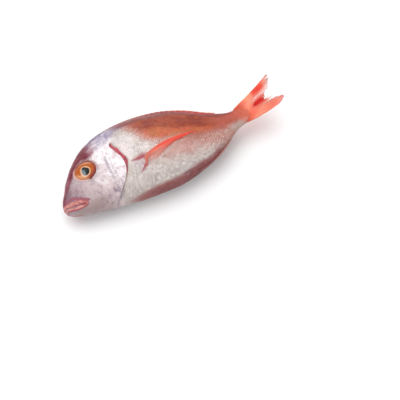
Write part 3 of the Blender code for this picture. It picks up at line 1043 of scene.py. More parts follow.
# Painted shade at the root of each scale, where the free edge of the scale before overlaps it
root_shade = add_range(tree, scale_node.outputs["Phase"], 0.10, 0.45, 1.0, 0.0)
root_shade = add_math(tree, "MULTIPLY", add_math(tree, "MULTIPLY", root_shade, on_scales), 0.42)
soft_shoulder = add_range(tree, add_attribute(tree, "shoulder").outputs["Fac"], 0.0, 1.0, 1.0, 0.35)
root_shade = add_math(tree, "MULTIPLY", root_shade, soft_shoulder)
colour = add_mix(tree, root_shade, colour, tone("6b4a48"))
coloured = add_attribute(tree, "orange").outputs["Fac"]
for name in ("ridge", "belly", "brow", "nape"):
    coloured = add_math(tree, "MAXIMUM", coloured, add_attribute(tree, name).outputs["Fac"])
plain = add_math(tree, "SUBTRACT", 1.0, coloured, clamp=True)
# Painted highlight: a pale, nearly white rim along each scale's free edge
rim_highlight_amount = add_math(tree, "MULTIPLY", add_range(tree, plain, 0.0, 1.0, 0.10, 0.85), on_scales)
broken = add_range(tree, add_noise(tree, place, 300.0, 4.0, 0.6), 0.38, 0.60, 0.25, 1.0)
rosy_off = add_range(tree, add_attribute(tree, "rosy").outputs["Fac"], 0.0, 1.0, 1.0, 0.15)
broken = add_math(tree, "MULTIPLY", broken, rosy_off)
rim_highlight_amount = add_math(tree, "MULTIPLY", rim_highlight_amount, broken)
rim_highlight = add_math(tree, "MULTIPLY", add_range(tree, scale_node.outputs["Phase"], 0.45, 0.95), rim_highlight_amount)
rim_highlight_tone = add_mix(tree, 0.80, colour, tone("fff6f2"))
colour = add_mix(tree, rim_highlight, colour, rim_highlight_tone)
# Painted reflection: short light glints and dark gaps in the silver, stretched along the scale rows
drawn = tree.nodes.new("ShaderNodeVectorMath")
drawn.operation = "MULTIPLY"
tree.links.new(add_attribute(tree, "scale_place").outputs["Vector"], drawn.inputs[0])
drawn.inputs[1].default_value = (2.2, 0.60, 0.0)
strokes = add_noise(tree, drawn.outputs[0], 1.0, 2.0, 0.5)
pink_off = add_range(tree, add_attribute(tree, "pink").outputs["Fac"], 0.2, 1.0, 1.0, 0.35)
glint_room = add_math(tree, "MULTIPLY", add_math(tree, "MULTIPLY", plain, rosy_off), on_scales)
glint_room = add_math(tree, "MULTIPLY", add_math(tree, "MULTIPLY", glint_room, pink_off), soft_shoulder)
glint = add_math(tree, "MULTIPLY", add_range(tree, strokes, 0.50, 0.66, 0.0, 0.55), glint_room)
colour = add_mix(tree, glint, colour, tone("f2ebe7"))
glint_gap = add_math(tree, "MULTIPLY", add_range(tree, strokes, 0.50, 0.34, 0.0, 0.45), glint_room)
colour = add_mix(tree, glint_gap, colour, tone("7e726c"))
line = add_math(tree, "MULTIPLY", add_attribute(tree, "side_line").outputs["Fac"], 0.35)
colour = add_mix(tree, line, colour, tone("8f5650"))
print("nodes with the scales:", len(tree.nodes))

# %% [markdown]
# ## The bare face
#
# Below the nape the head has no scales. Its skin is silver with lilac and pink mottling, short dark streaks
# on the cheek and fine dots. It gets its own colour, which replaces the flank's where the head field rules.
# The lower cheek and the chin are darkened with painted shade, and the front of the face is darker partly in
# its own lilac grey and partly with painted shade. The violet nape, the brow and the small marks lie over
# both.

# %% Face, nape and marks
mottle = add_range(tree, add_noise(tree, place, 85.0, 5.0, 0.65), 0.44, 0.64)
face = add_mix(tree, mottle, tone("e6dfe0"), tone("cabcc0"))
# Painted shade: the lower cheek gets a darker lilac grey
face = add_mix(tree, add_math(tree, "MULTIPLY", field("shaded_jowl", 110.0, 1.0), 0.6), face, tone("b9a3a4"))
# Front of the face: its own darker lilac grey and painted shade
face = add_mix(tree, add_math(tree, "MULTIPLY", field("face_front_tone_and_shade", 110.0, 1.0), 0.75), face, tone("a08a8c"))
blotch = add_range(tree, add_noise(tree, place, 150.0, 4.0, 0.6), 0.54, 0.70, 0.0, 0.65)
face = add_mix(tree, blotch, face, tone("b89aa0"))
squeezed = tree.nodes.new("ShaderNodeVectorMath")
squeezed.operation = "MULTIPLY"
tree.links.new(place, squeezed.inputs[0])
squeezed.inputs[1].default_value = (1.0, 0.35, 1.0)
streak = add_range(tree, add_noise(tree, squeezed.outputs[0], 330.0, 4.0, 0.6), 0.50, 0.66, 0.0, 0.80)
streak = add_math(tree, "MULTIPLY", streak, add_attribute(tree, "shaded_jowl").outputs["Fac"])
face = add_mix(tree, streak, face, tone("80697a"))
face = add_mix(tree, add_math(tree, "MULTIPLY", spots(420.0, 0.40, 0.40), 0.60), face, tone("6b5560"))
face = add_mix(tree, field("snout", 150.0, 0.9), face, tone("785a64"))
# Painted shade on the chin
face = add_mix(tree, field("shaded_chin", 120.0, 0.7), face, tone("9f8a86"))
colour = add_mix(tree, add_attribute(tree, "head").outputs["Fac"], colour, face)
nape_patches = add_range(tree, add_noise(tree, place, 170.0, 4.0, 0.65), 0.36, 0.60, 0.35, 1.0)
nape_amount = add_math(tree, "MULTIPLY", field("nape", 110.0, 1.0), nape_patches)
colour = add_mix(tree, nape_amount, colour, tone("9488a6"))
colour = add_mix(tree, field("nape_edge", 140.0, 0.75), colour, tone("75607c"))
brow_tone = add_mix(tree, add_range(tree, cloud, 0.42, 0.62), tone("6c2632"), tone("8a4a5c"))
colour = add_mix(tree, field("brow", 130.0, 1.0), colour, brow_tone)
colour = add_mix(tree, add_math(tree, "MULTIPLY", field("shadow", 260.0, 1.4), 0.58), colour, tone("786a7c"))
lip_amount = add_math(tree, "MULTIPLY", field("lip_edge", 240.0, 1.2), 0.75)
colour = add_mix(tree, lip_amount, colour, tone("98404e"))
colour = add_mix(tree, field("fin_pit", 150.0, 0.5), colour, tone("b9a0b4"))
colour = add_mix(tree, field("fin_spurs", 200.0, 0.5), colour, tone("9a3c48"))
colour = add_mix(tree, field("orbit", 200.0, 0.8), colour, tone("6e2a2a"))
colour = add_mix(tree, add_attribute(tree, "eye_rim").outputs["Fac"], colour, tone("8a5048"))
colour = add_mix(tree, add_attribute(tree, "eye_rim_pale").outputs["Fac"], colour, tone("d6a8a2"))
# Painted shade in the narrow lower gill slit
slit_shade_amount = add_math(tree, "MULTIPLY", add_attribute(tree, "gill_slit_shade").outputs["Fac"], 0.7)
colour = add_mix(tree, slit_shade_amount, colour, tone("98808a"))
colour = add_mix(tree, add_attribute(tree, "gill").outputs["Fac"], colour, tone("a01c34"))
tree.links.new(colour, shader.inputs["Base Color"])
print("nodes with the face and the marks:", len(tree.nodes))

# %% [markdown]
# ## How the skin shines
#
# The silver parts are a little metallic and carry most of the wet layer, and the coloured back is duller.
# A bump adds what is too fine for the mesh: the step of each scale, the grain of the skin and soft dents.

# %% Shine and bump
silvery = add_range(tree, add_noise(tree, place, 70.0, 3.0, 0.6), 0.35, 0.75, 0.08, 0.20)
silvery = add_math(tree, "MULTIPLY", silvery, plain)
tree.links.new(add_range(tree, plain, 0.0, 1.0, 0.08, 0.38), shader.inputs["Coat Weight"])
tree.links.new(silvery, shader.inputs["Metallic"])
roughness = add_range(tree, add_noise(tree, place, 150.0, 4.0, 0.6), 0.3, 0.7, 0.30, 0.48)
tree.links.new(roughness, shader.inputs["Roughness"])
shader.inputs["Specular IOR Level"].default_value = 0.14
shader.inputs["Coat Roughness"].default_value = 0.16
shader.inputs["Subsurface Weight"].default_value = 0.08
shader.inputs["Subsurface Radius"].default_value = (0.004, 0.0015, 0.001)
shader.inputs["Subsurface Scale"].default_value = 1.0
scale_step = add_math(tree, "MULTIPLY", on_scales, 1.6)
scale_height = add_math(tree, "MULTIPLY", scale_node.outputs["Phase"], scale_step)
grain = add_math(tree, "MULTIPLY", add_noise(tree, place, 900.0, 3.0, 0.6), 0.55)
dents = add_math(tree, "MULTIPLY", add_noise(tree, place, 260.0, 3.0, 0.6), 1.3)
height = add_math(tree, "ADD", add_math(tree, "ADD", scale_height, grain), dents)
bump = tree.nodes.new("ShaderNodeBump")
bump.inputs["Strength"].default_value = 0.9
bump.inputs["Distance"].default_value = 0.00035
tree.links.new(height, bump.inputs["Height"])
tree.links.new(bump.outputs["Normal"], shader.inputs["Normal"])
skin.data.materials.append(skin_look)
print("skin material has", len(tree.nodes), "nodes")

# %% [markdown]
# ## Gills in the slit
#
# Through the gape one sees the crimson, comb-like gills. A lumpy strip lies in the slit on either side,
# lower than the cover's edge and against the shoulder.

# %% Gills
# Where the comb starts and how far it reaches, as shares of the span
COMB_START = -0.020
COMB_REACH = 0.125
COMB_TEETH = 30
# How high the teeth stand, how deep the strip lies and how thick it is, in metres
COMB_HEIGHT = 0.00022
GILL_SINK = 0.00105
GILL_THICKNESS = 0.0012

flesh_look, tree, shader = new_material("gill_flesh")
where = tree.nodes.new("ShaderNodeTexCoord").outputs["Object"]
lumps = add_range(tree, add_noise(tree, where, 320.0, 4.0, 0.6), 0.40, 0.62)
colour = add_mix(tree, lumps, tone("bd2444"), tone("861226"))
tree.links.new(colour, shader.inputs["Base Color"])
shader.inputs["Roughness"].default_value = 0.25
shader.inputs["Coat Weight"].default_value = 0.6
shader.inputs["Coat Roughness"].default_value = 0.08


def closed_sheet(columns, rows):
    """A flat sheet with a top and an underside, as a bmesh, with each vertex's place and side."""
    bm = bmesh.new()
    bmesh.ops.create_grid(bm, x_segments=columns, y_segments=rows, size=1.0)
    grown = bmesh.ops.extrude_face_region(bm, geom=bm.faces[:])
    lifted = [item for item in grown["geom"] if isinstance(item, bmesh.types.BMVert)]
    bmesh.ops.translate(bm, verts=lifted, vec=(0, 0, 1))
    flat = np.array([vert.co for vert in bm.verts])
    return bm, (flat[:, 0] + 1) / 2, (flat[:, 1] + 1) / 2, np.where(flat[:, 2] > 0.5, 1.0, -1.0)


def gill(name, side_sign):
    bm, u, v, side = closed_sheet(150, 14)
    y = (COMB_START + COMB_REACH * u) * SPAN
    edge = spline(y, GILL_EDGE[:, 0], GILL_EDGE[:, 1])
    taper = np.sin(math.pi * np.clip(u, 0.0, 1.0)) ** 0.4
    wide = np.interp(y / SPAN, SLIT_WIDTH[:, 0], SLIT_WIDTH[:, 1])
    forward = SLIT_FORWARD * smooth(-0.040, 0.010, y / SPAN)
    x = edge - forward - 0.0010 + (0.0008 + 1.25 * wide) * v
    comb = COMB_HEIGHT * np.sin(u * 2 * math.pi * COMB_TEETH) * np.sin(math.pi * v)
    depth = GILL_SINK - 0.0005 * np.sin(math.pi * v) * taper - comb * taper
    z = skin_z(x, y) - depth - np.where(side > 0, 0.0, GILL_THICKNESS)
    place_vertices(bm, lay_down(np.stack((x, y, side_sign * z), axis=1)))
    piece = add_piece(name, bm, "fish")
    piece.data.materials.append(flesh_look)


gill("gill_left", 1)
gill("gill_right", -1)
print("made the gills")

# %% [markdown]
# ## Lips
#
# Two fleshy rolls run round the mouth from corner to corner. Each is a sphere stretched into a tube along
# the lip's line, so that its two poles close the ends. Fine folds cross the roll.

# %% Lips
# Middle line of each lip in the side view, as shares of the span, and its radius in metres
UPPER_LIP = np.array(
    (
        (0.000, -0.028, 0.0026),
        (0.020, -0.0315, 0.0036),
        (0.040, -0.036, 0.0040),
        (0.060, -0.043, 0.0033),
        (0.076, -0.052, 0.0021),
        (0.090, -0.059, 0.0010),
    )
)
LOWER_LIP = np.array(
    (
        (0.002, -0.039, 0.0017),
        (0.018, -0.048, 0.0020),
        (0.038, -0.056, 0.0020),
        (0.060, -0.0615, 0.0018),
        (0.078, -0.0635, 0.0014),
        (0.090, -0.0615, 0.0009),
    )
)
LIP_PROUD = 0.0014
LIP_SETBACK = 0.7


def lip_path(line, count):
    """Middle line and radius of a lip, from the right corner of the mouth round the snout to the left one."""
    share = line[0, 0] + (line[-1, 0] - line[0, 0]) * np.linspace(0, 1, 60) ** 2
    x, y = share * SPAN, spline(share, line[:, 0], line[:, 1]) * SPAN
    radius = spline(share, line[:, 0], line[:, 2])
    z = np.maximum(skin_z(x, y) - radius + LIP_PROUD, 0.0)
    z[0] = 0.0
    half = np.stack((x + LIP_SETBACK * radius * (1 - share / 0.09), y, z, radius), axis=1)
    path = np.concatenate((half[:0:-1] * (1, 1, -1, 1), half))
    length = np.concatenate(((0,), np.cumsum(np.linalg.norm(np.diff(path[:, :3], axis=0), axis=1))))
    places = np.linspace(0, length[-1], count)
    path = np.stack([np.interp(places, length, path[:, axis]) for axis in range(4)], axis=1)
    for _ in range(8):
        path[1:-1] = (path[:-2] + 2 * path[1:-1] + path[2:]) / 4
    return path[:, :3], path[:, 3]


def lip(name, line, seed):
    rows, columns = 160, 36
    bm, row, around = wrapped_sphere(columns, rows)
    path, radius = lip_path(line, rows + 1)
    run = np.gradient(path, axis=0)
    run /= np.linalg.norm(run, axis=1)[:, None]
    up = np.array((0.0, 1.0, 0.0)) - run * run[:, 1:2]
    up /= np.linalg.norm(up, axis=1)[:, None]
    out = np.cross(run, up)
    along = np.linspace(-1, 1, rows + 1)[row]
    size = radius[row] * np.sqrt(1 - np.clip((np.abs(along) - 0.94) / 0.06, 0, 1) ** 2)
    folds = slow_waves(along * 0.03, around * 0.0012, 0.0016, 12, seed)
    size = size * (1 + 0.035 * folds)
    turned = np.cos(around)[:, None] * up[row] + np.sin(around)[:, None] * out[row]
    place_vertices(bm, lay_down(path[row] + size[:, None] * turned))
    piece = add_piece(name, bm, "fish")
    paint(piece, "lip_place", np.stack((along, np.cos(around), folds), axis=1))
    return piece


lip_look, tree, shader = new_material("lip_flesh")
where = tree.nodes.new("ShaderNodeTexCoord").outputs["Object"]
lip_split = tree.nodes.new("ShaderNodeSeparateXYZ")
tree.links.new(add_attribute(tree, "lip_place").outputs["Vector"], lip_split.inputs[0])
patches = add_range(tree, add_noise(tree, where, 240.0, 4.0, 0.6), 0.38, 0.66)
colour = add_mix(tree, patches, tone("a04e4a"), tone("c68074"))
colour = add_mix(tree, add_range(tree, lip_split.outputs[1], 0.55, 0.98), colour, tone("a23e4c"))
colour = add_mix(tree, add_range(tree, lip_split.outputs[1], -0.45, -0.95), colour, tone("983a48"))
tree.links.new(colour, shader.inputs["Base Color"])
shader.inputs["Roughness"].default_value = 0.34
shader.inputs["Coat Weight"].default_value = 0.6
shader.inputs["Coat Roughness"].default_value = 0.12
shader.inputs["Subsurface Weight"].default_value = 0.10
shader.inputs["Subsurface Radius"].default_value = (0.004, 0.0015, 0.001)
shader.inputs["Subsurface Scale"].default_value = 1.0
upper_lip = lip("upper_lip", UPPER_LIP, 5)
lower_lip = lip("lower_lip", LOWER_LIP, 6)
upper_lip.data.materials.append(lip_look)
lower_lip.data.materials.append(lip_look)
print("made the lips")

# %% [markdown]
# ## Eyes
#
# Each eyeball is a flattened ball that looks outward, forward and a little up. The pupil is a near-black
# round with a blue-grey cloud on one side, partly the clouding of a fish some hours out of the water and
# partly a painted reflection. Around it the iris runs from a thin pale ring through orange, with cream
# sectors, to a dark rim. A hard clear coat makes the bright reflections.


# %% Eyeballs
PUPIL_CENTRE = np.array((-0.03, -0.25))
PUPIL_TALL = np.array((0.537, 0.843))
PUPIL_STRETCH = 1.22


def eyeball(name, node, side_sign):
    middle, facing = eye_place(side_sign)
    bm, _row, _around = wrapped_sphere(96, 72)
    ball = np.array([vert.co for vert in bm.verts])
    away = np.hypot(ball[:, 0], ball[:, 1])
    ball = ball * (EYE_RADIUS, EYE_RADIUS, EYE_HALF_DEPTH)
    front = ball[:, 2] > 0
    ball[:, 2] += np.where(front, 0.00035 * np.exp(-((away / 0.42) ** 4)), 0.0)
    turn = Vector(facing).to_track_quat("Z", "Y").to_matrix()
    centre = lay_down(middle[None])[0]
    turned = ball @ np.array(turn).T
    place_vertices(bm, centre + turned)
    piece = add_piece(name, bm, node)
    angle = np.arctan2(turned[:, 1], turned[:, 0])
    side = np.stack((away * np.cos(angle), away * np.sin(angle), np.where(front, 1.0, -1.0)), axis=1)
    paint(piece, "eye_place", side)
    from_pupil = side[:, :2] - PUPIL_CENTRE
    lengthwise = from_pupil @ PUPIL_TALL
    crosswise = from_pupil @ (-PUPIL_TALL[1], PUPIL_TALL[0])
    paint(piece, "pupil_reach", np.hypot(lengthwise / PUPIL_STRETCH, crosswise))
    return piece


eye_look, tree, shader = new_material("wet_eye")
eye_at = add_attribute(tree, "eye_place").outputs["Vector"]
axes = tree.nodes.new("ShaderNodeSeparateXYZ")
tree.links.new(eye_at, axes.inputs[0])


def reach_from(tree, vector, middle):
    """Distance from a point of the eye's front, as a share of the eyeball's radius."""
    node = tree.nodes.new("ShaderNodeVectorMath")
    node.operation = "DISTANCE"
    flat = tree.nodes.new("ShaderNodeVectorMath")
    flat.operation = "MULTIPLY"
    tree.links.new(vector, flat.inputs[0])
    flat.inputs[1].default_value = (1.0, 1.0, 0.0)
    tree.links.new(flat.outputs[0], node.inputs[0])
    node.inputs[1].default_value = (*middle, 0.0)
    wobble = add_math(tree, "SUBTRACT", add_noise(tree, vector, 5.0, 3.0), 0.5)
    return add_math(tree, "ADD", node.outputs["Value"], add_math(tree, "MULTIPLY", wobble, 0.07))


def facing_to(tree, degrees):
    """How far a point lies towards one direction of the side view."""
    turn = math.radians(degrees)
    first = add_math(tree, "MULTIPLY", axes.outputs[0], math.cos(turn))
    return add_math(tree, "ADD", first, add_math(tree, "MULTIPLY", axes.outputs[1], math.sin(turn)))


wobble = add_math(tree, "SUBTRACT", add_noise(tree, eye_at, 5.0, 3.0), 0.5)
wobble = add_math(tree, "MULTIPLY", wobble, 0.015)
from_pupil = add_math(tree, "ADD", add_attribute(tree, "pupil_reach").outputs["Fac"], wobble)
from_middle = reach_from(tree, eye_at, (0.0, 0.0))
streaks = add_noise(tree, eye_at, 14.0, 4.0, 0.7)
iris = add_mix(tree, add_range(tree, streaks, 0.35, 0.65), tone("86340e"), tone("bd6218"))
# Cream sectors towards the snout and towards the back of the nape
sector = add_math(tree, "MAXIMUM", facing_to(tree, 215), facing_to(tree, 60))
streaked = add_math(tree, "MULTIPLY", add_math(tree, "SUBTRACT", streaks, 0.5), 0.5)
sector = add_math(tree, "ADD", sector, streaked)
iris = add_mix(tree, add_range(tree, sector, 0.44, 0.70, 0.0, 0.7), iris, tone("dca57c"))
iris = add_mix(tree, add_range(tree, from_pupil, 0.375, 0.47, 0.6, 0.0), iris, tone("f0cfa8"))
away_from_snout = add_range(tree, facing_to(tree, 200), 0.15, 0.60, 1.0, 0.35)
outer = add_math(tree, "MULTIPLY", add_range(tree, from_middle, 0.68, 0.80), away_from_snout)
iris = add_mix(tree, outer, iris, tone("8f3a26"))
outer = add_math(tree, "MULTIPLY", add_range(tree, from_middle, 0.84, 0.92), away_from_snout)
iris = add_mix(tree, outer, iris, tone("6a2a22"))
# Blue-grey cloud on one side of the pupil: clouded cornea and a painted reflection
cloud_and_reflection = add_math(tree, "ADD", facing_to(tree, 172), add_math(tree, "MULTIPLY", streaks, 0.10))
pupil = add_mix(tree, add_range(tree, cloud_and_reflection, 0.10, 0.30, 0.0, 0.70), tone("0a0908"), tone("84909a"))
colour = add_mix(tree, add_range(tree, from_pupil, 0.32, 0.375), pupil, iris)
tree.links.new(colour, shader.inputs["Base Color"])
shader.inputs["Roughness"].default_value = 0.30
shader.inputs["Specular IOR Level"].default_value = 0.10
shader.inputs["Coat Weight"].default_value = 0.18
shader.inputs["Coat Roughness"].default_value = 0.03
for name, node, side_sign in (("eyeball_left", "eye_left", 1), ("eyeball_right", "eye_right", -1)):
    eyeball(name, node, side_sign).data.materials.append(eye_look)
print("made the eyes")

# %% [markdown]
# ## Fins
#
# A fin is a thin web on a fan of bony rays. Every fin here is a closed thin sheet: `u` runs across the
# rays and `v` from root to tip. Rays are raised lines, each ray has its own length, and the web between
# them ends sooner, which gives the frayed edge. The tail stands free. The back and anal fins are folded
# down, so that only low spines show. The paired fins lie back against the flank.


# %% Fin sheets
def ray_height(u, rays):
    """1 on each ray and 0 midway between two."""
    return np.abs(np.cos(math.pi * u * rays))


def ray_chance(u, rays, seed):
    """A random number for each ray, the same all along it and on both faces."""
    chance = np.random.default_rng(seed).uniform(-1, 1, rays + 1)
    return np.interp(u * rays, np.arange(rays + 1), chance)


def fin(name, rays, per_ray, along, surface, marks):
    bm, u, v, side = closed_sheet(per_ray * rays, along)
    place_vertices(bm, lay_down(surface(u, v, side)))
    piece = add_piece(name, bm, "fish")
    paint(piece, "fin_place", np.stack((u, v, ray_height(u, rays)), axis=1))
    paint(piece, "fin_marks", np.clip(np.stack(marks(u, v), axis=1), 0, 1))
    return piece


# %% Tail fin
TAIL_ROOT = (0.800 * SPAN, -0.0135 * SPAN)
TAIL_ROOT_REACH = 0.037 * SPAN
TAIL_UPPER_REACH = 0.076 * SPAN
TAIL_LOWER_REACH = 0.066 * SPAN
TAIL_RAYS = 24
# Length of the tail's rays: place across the fan, from the lowest ray to the highest, and length
TAIL_LENGTHS = np.array(
    (
        (-1.00, 0.164),
        (-0.80, 0.194),
        (-0.45, 0.167),
        (-0.10, 0.138),
        (0.15, 0.146),
        (0.45, 0.188),
        (0.75, 0.212),
        (1.00, 0.218),
    )
) * (1.0, SPAN)
# Where the edge is split, and where a loose ray sticks out: place across, depth of the cut, half width
TAIL_SPLITS = (
    (0.85, 0.0070, 0.032),
    (0.66, 0.0065, 0.030),
    (0.48, 0.0050, 0.026),
    (0.31, 0.0110, 0.045),
    (0.12, 0.0050, 0.025),
    (-0.08, -0.0050, 0.022),
    (-0.15, 0.0060, 0.030),
    (-0.24, -0.0060, 0.022),
    (-0.31, 0.0080, 0.030),
    (-0.42, 0.0080, 0.030),
    (-0.58, 0.0040, 0.022),
    (-0.74, 0.0030, 0.020),
)


def tail_surface(u, v, side):
    across = 2 * u - 1
    length = spline(across, TAIL_LENGTHS[:, 0], TAIL_LENGTHS[:, 1])
    cut = 0.0016 * (1 - ray_height(u, TAIL_RAYS)) + 0.0010 * (1 + ray_chance(u, TAIL_RAYS, 21))
    for place, depth, width in TAIL_SPLITS:
        cut = cut + depth * np.maximum(0, 1 - np.abs(across - place) / width)
    length = length - cut * smooth(0.40, 1, v)
    reach = np.where(across > 0, TAIL_UPPER_REACH, TAIL_LOWER_REACH)
    x = TAIL_ROOT[0] + length * v
    y = TAIL_ROOT[1] + across * (TAIL_ROOT_REACH + (reach - TAIL_ROOT_REACH) * v**0.72)
    y = y + 0.0009 * ray_chance(u, TAIL_RAYS, 22) * v**2 * (1 - np.abs(across) ** 4)
    ridge = ray_height(u, TAIL_RAYS) ** 1.5
    half = (0.0016 * (1 - v) ** 1.2 + 0.00040) * (0.62 + 0.38 * ridge)
    sway = 0.0006 * ray_chance(u, TAIL_RAYS, 23) * v**2
    return np.stack((x, y, side * half + sway), axis=1)


print("rays in the tail:", TAIL_RAYS)

# %% [markdown]
# ## Marks on the fins
#
# A fin can carry three marks: red, deep red and clear. Each mark is a number for every vertex, drawn over the
# sheet's `u` and `v`, and the finish of the fins reads it later.


# %% Marks on the fins
def tail_marks(u, v):
    """Red patch on the upper lobe, deep red spot in the fork, and a clear streak between them."""
    across = 2 * u - 1
    band = across - 0.90 + 0.7 * (v - 0.50)
    front = smooth(0.42, 0.54, v - 0.10 * (1 - across))
    red = np.exp(-((band / 0.42) ** 2)) * front * (1 - smooth(0.78, 0.92, v))
    red = red + 0.5 * np.exp(-(((across + 0.10) / 0.28) ** 2)) * smooth(0.30, 0.55, v)
    red = red + 0.5 * np.exp(-(((across + 0.45) / 0.35) ** 2)) * np.exp(-(((v - 0.34) / 0.12) ** 2))
    red = red + 0.40 * np.exp(-(((across + 0.80) / 0.32) ** 2)) * smooth(0.45, 0.75, v)
    deep = 1.3 * np.exp(-(((across - 0.05) / 0.17) ** 2)) * smooth(0.46, 0.64, v) * (1 - smooth(0.97, 1.0, v))
    clear = 0.65 * np.exp(-(((across - 0.42) / 0.13) ** 2)) * smooth(0.36, 0.56, v)
    return red, deep, clear


def plain_marks(u, v):
    return 0.0 * u, 0.0 * u, 0.0 * u


def back_marks(u, v):
    """Red behind the middle of the back."""
    return 0.35 * smooth(0.62, 0.80, u), 0.0 * u, 0.0 * u


def chest_marks(u, v):
    """Red along the upper rays, and a clear lower web."""
    red = 0.92 * np.exp(-(((u - 0.14) / (0.20 + 0.40 * smooth(0.5, 1.0, v))) ** 2)) * smooth(0.12, 0.40, v)
    clear = (0.50 * smooth(0.28, 0.55, u) + 0.50 * smooth(0.55, 0.95, u)) * smooth(0.05, 0.20, v)
    clear = np.maximum(clear, smooth(0.12, 0.36, u) * smooth(0.74, 1.00, v))
    return red, 0.0 * u, clear


def belly_marks(u, v):
    """The root and the edges melt into the belly."""
    return 0.0 * u, 0.0 * u, np.maximum(1 - smooth(0.10, 0.45, v), 1 - smooth(0.0, 0.25, u))


at_fork = tail_marks(np.array((0.52,)), np.array((0.90,)))
print("marks in the tail's fork:", [round(float(mark[0]), 2) for mark in at_fork])

# %% [markdown]
# ## Folded fins and paired fins
#
# The folded fins follow the ridge of the back and the line of the belly. A paired fin is stretched between
# four corners in the side view and rests on the skin.

# %% Folded fins and paired fins
FIN_SINK = 0.0025
FOLD_LEAN = 0.45
FOLD_OVERHANG = 0.012
BACK_RAYS = 22
ANAL_RAYS = 11


def ridge_surface(start, end, sign, height, overhang, rays):
    """A fin folded down along the back (sign 1) or the belly (sign -1)."""

    def surface(u, v, side):
        ridge = ray_height(u, rays) ** 2
        x = start + (end - start) * u + overhang * v * (0.35 + 0.65 * u)
        back, belly, _widest, _half = section(x)
        crown = np.sin(math.pi * (0.06 + 0.88 * u)) ** 0.5 * (0.45 + 0.55 * smooth(0.1, 0.7, u))
        rise = FIN_SINK + height * crown * (0.94 + 0.06 * ridge)
        y = np.where(sign > 0, back, belly) - sign * FIN_SINK + sign * rise * v
        half = (0.00035 + 0.0012 * (1 - v)) * (0.65 + 0.35 * ridge)
        lean = FOLD_LEAN * rise * v**2
        return np.stack((x, y, side * half + lean), axis=1)

    return surface


def flank_surface(
    side_sign, root_top, root_bottom, tip, end_bottom, rays, stand_off, root_swell, arch, ramp, seed
):
    """A paired fin that lies back against the flank, with its corners given in the side view."""
    top, bottom, far, low = [np.array(point) * SPAN for point in (root_top, root_bottom, tip, end_bottom)]

    def surface(u, v, side):
        ridge = ray_height(u, rays)
        length = v * (1 - 0.03 * (1 - ridge) * smooth(0.5, 1, v) + 0.02 * ray_chance(u, rays, seed) * v)
        start = top + (bottom - top) * u[:, None]
        droop = np.outer(np.sin(math.pi * u**0.85), (0.0, 0.011 * SPAN))
        finish = far + (low - far) * (u**0.85)[:, None] + droop
        place = start + (finish - start) * length[:, None]
        bulge = arch * np.sin(math.pi * length) * (1 - u)
        x, y = place[:, 0], place[:, 1] + bulge
        risen = smooth(0.0, ramp, v)
        lift = stand_off * risen * (0.65 + 0.35 * ridge**1.5) * (1 - 0.25 * v) - 0.0006 * (1 - risen)
        lift = lift + root_swell * np.exp(-(((v - 0.04) / 0.05) ** 2)) * (1 - (2 * u - 1) ** 4)
        z = skin_z(x, y) + np.where(side > 0, lift, -0.0012)
        return np.stack((x, y, side_sign * z), axis=1)

    return surface


back_shape = ridge_surface(0.285 * SPAN, 0.690 * SPAN, 1, 0.0032, FOLD_OVERHANG, BACK_RAYS)
anal_shape = ridge_surface(0.520 * SPAN, 0.675 * SPAN, -1, 0.0028, FOLD_OVERHANG, ANAL_RAYS)
pieces = {
    "tail_fin": fin("tail_fin", TAIL_RAYS, 8, 70, tail_surface, tail_marks),
    "back_fin": fin("back_fin", BACK_RAYS, 10, 14, back_shape, back_marks),
    "anal_fin": fin("anal_fin", ANAL_RAYS, 10, 14, anal_shape, plain_marks),
}
CHEST_FIN = {
    "root_top": (0.354, -0.015),
    "root_bottom": (0.348, -0.055),
    "tip": (0.602, -0.003),
    "end_bottom": (0.368, -0.067),
    "rays": 13,
    "stand_off": 0.0010,
    "root_swell": 0.0006,
    "arch": 0.0046,
    "ramp": 0.12,
    "seed": 31,
}
BELLY_FIN = {
    "root_top": (0.345, -0.138),
    "root_bottom": (0.350, -0.1455),
    "tip": (0.540, -0.141),
    "end_bottom": (0.470, -0.1530),
    "rays": 6,
    "stand_off": 0.0004,
    "root_swell": 0.0,
    "arch": -0.0016,
    "ramp": 0.60,
    "seed": 32,
}
for side_name, side_sign in (("left", 1), ("right", -1)):
    chest = flank_surface(side_sign, **CHEST_FIN)
    belly = flank_surface(side_sign, **BELLY_FIN)
    chest_name = "chest_fin_" + side_name
    belly_name = "belly_fin_" + side_name
    pieces[chest_name] = fin(chest_name, CHEST_FIN["rays"], 8, 90, chest, chest_marks)
    pieces[belly_name] = fin(belly_name, BELLY_FIN["rays"], 10, 60, belly, belly_marks)
print("made", len(pieces), "fins")

# %% [markdown]
# ## Finish of the fins
#
# All fins share one build-up: a fleshy colour at the root, coral rays, a paler web between them, and
# darker or clearer tips. One node group does that and each fin gives it its own colours. The web also
# lets some of what lies behind it show through near the edge.

# %% Fin colours group
fin_colours, taken, given = new_group(
    "fin_colours",
    {
        "Place": ("Vector", None),
        "Marks": ("Vector", None),
        "Root": ("Color", (1, 1, 1, 1)),
        "Ray": ("Color", (1, 1, 1, 1)),
        "Web": ("Color", (1, 1, 1, 1)),
        "Tip": ("Color", (1, 1, 1, 1)),
        "Clear": ("Float", 0.5),
    },
    {"Color": "Color", "Alpha": "Float", "Height": "Float"},
)
parts = fin_colours.nodes.new("ShaderNodeSeparateXYZ")
fin_colours.links.new(taken["Place"], parts.inputs[0])
_across, along_fin, on_ray = parts.outputs
stretch = fin_colours.nodes.new("ShaderNodeVectorMath")
stretch.operation = "MULTIPLY"
fin_colours.links.new(taken["Place"], stretch.inputs[0])
stretch.inputs[1].default_value = (42.0, 5.0, 0.0)
fibres = add_noise(fin_colours, stretch.outputs[0], 1.0, 4.0, 0.6)
blotches = add_noise(fin_colours, taken["Place"], 5.0, 3.0, 0.6)
on_fibre = add_math(fin_colours, "SUBTRACT", fibres, 0.5)
ray_mask = add_range(fin_colours, add_math(fin_colours, "ADD", on_ray, on_fibre), 0.35, 0.85)
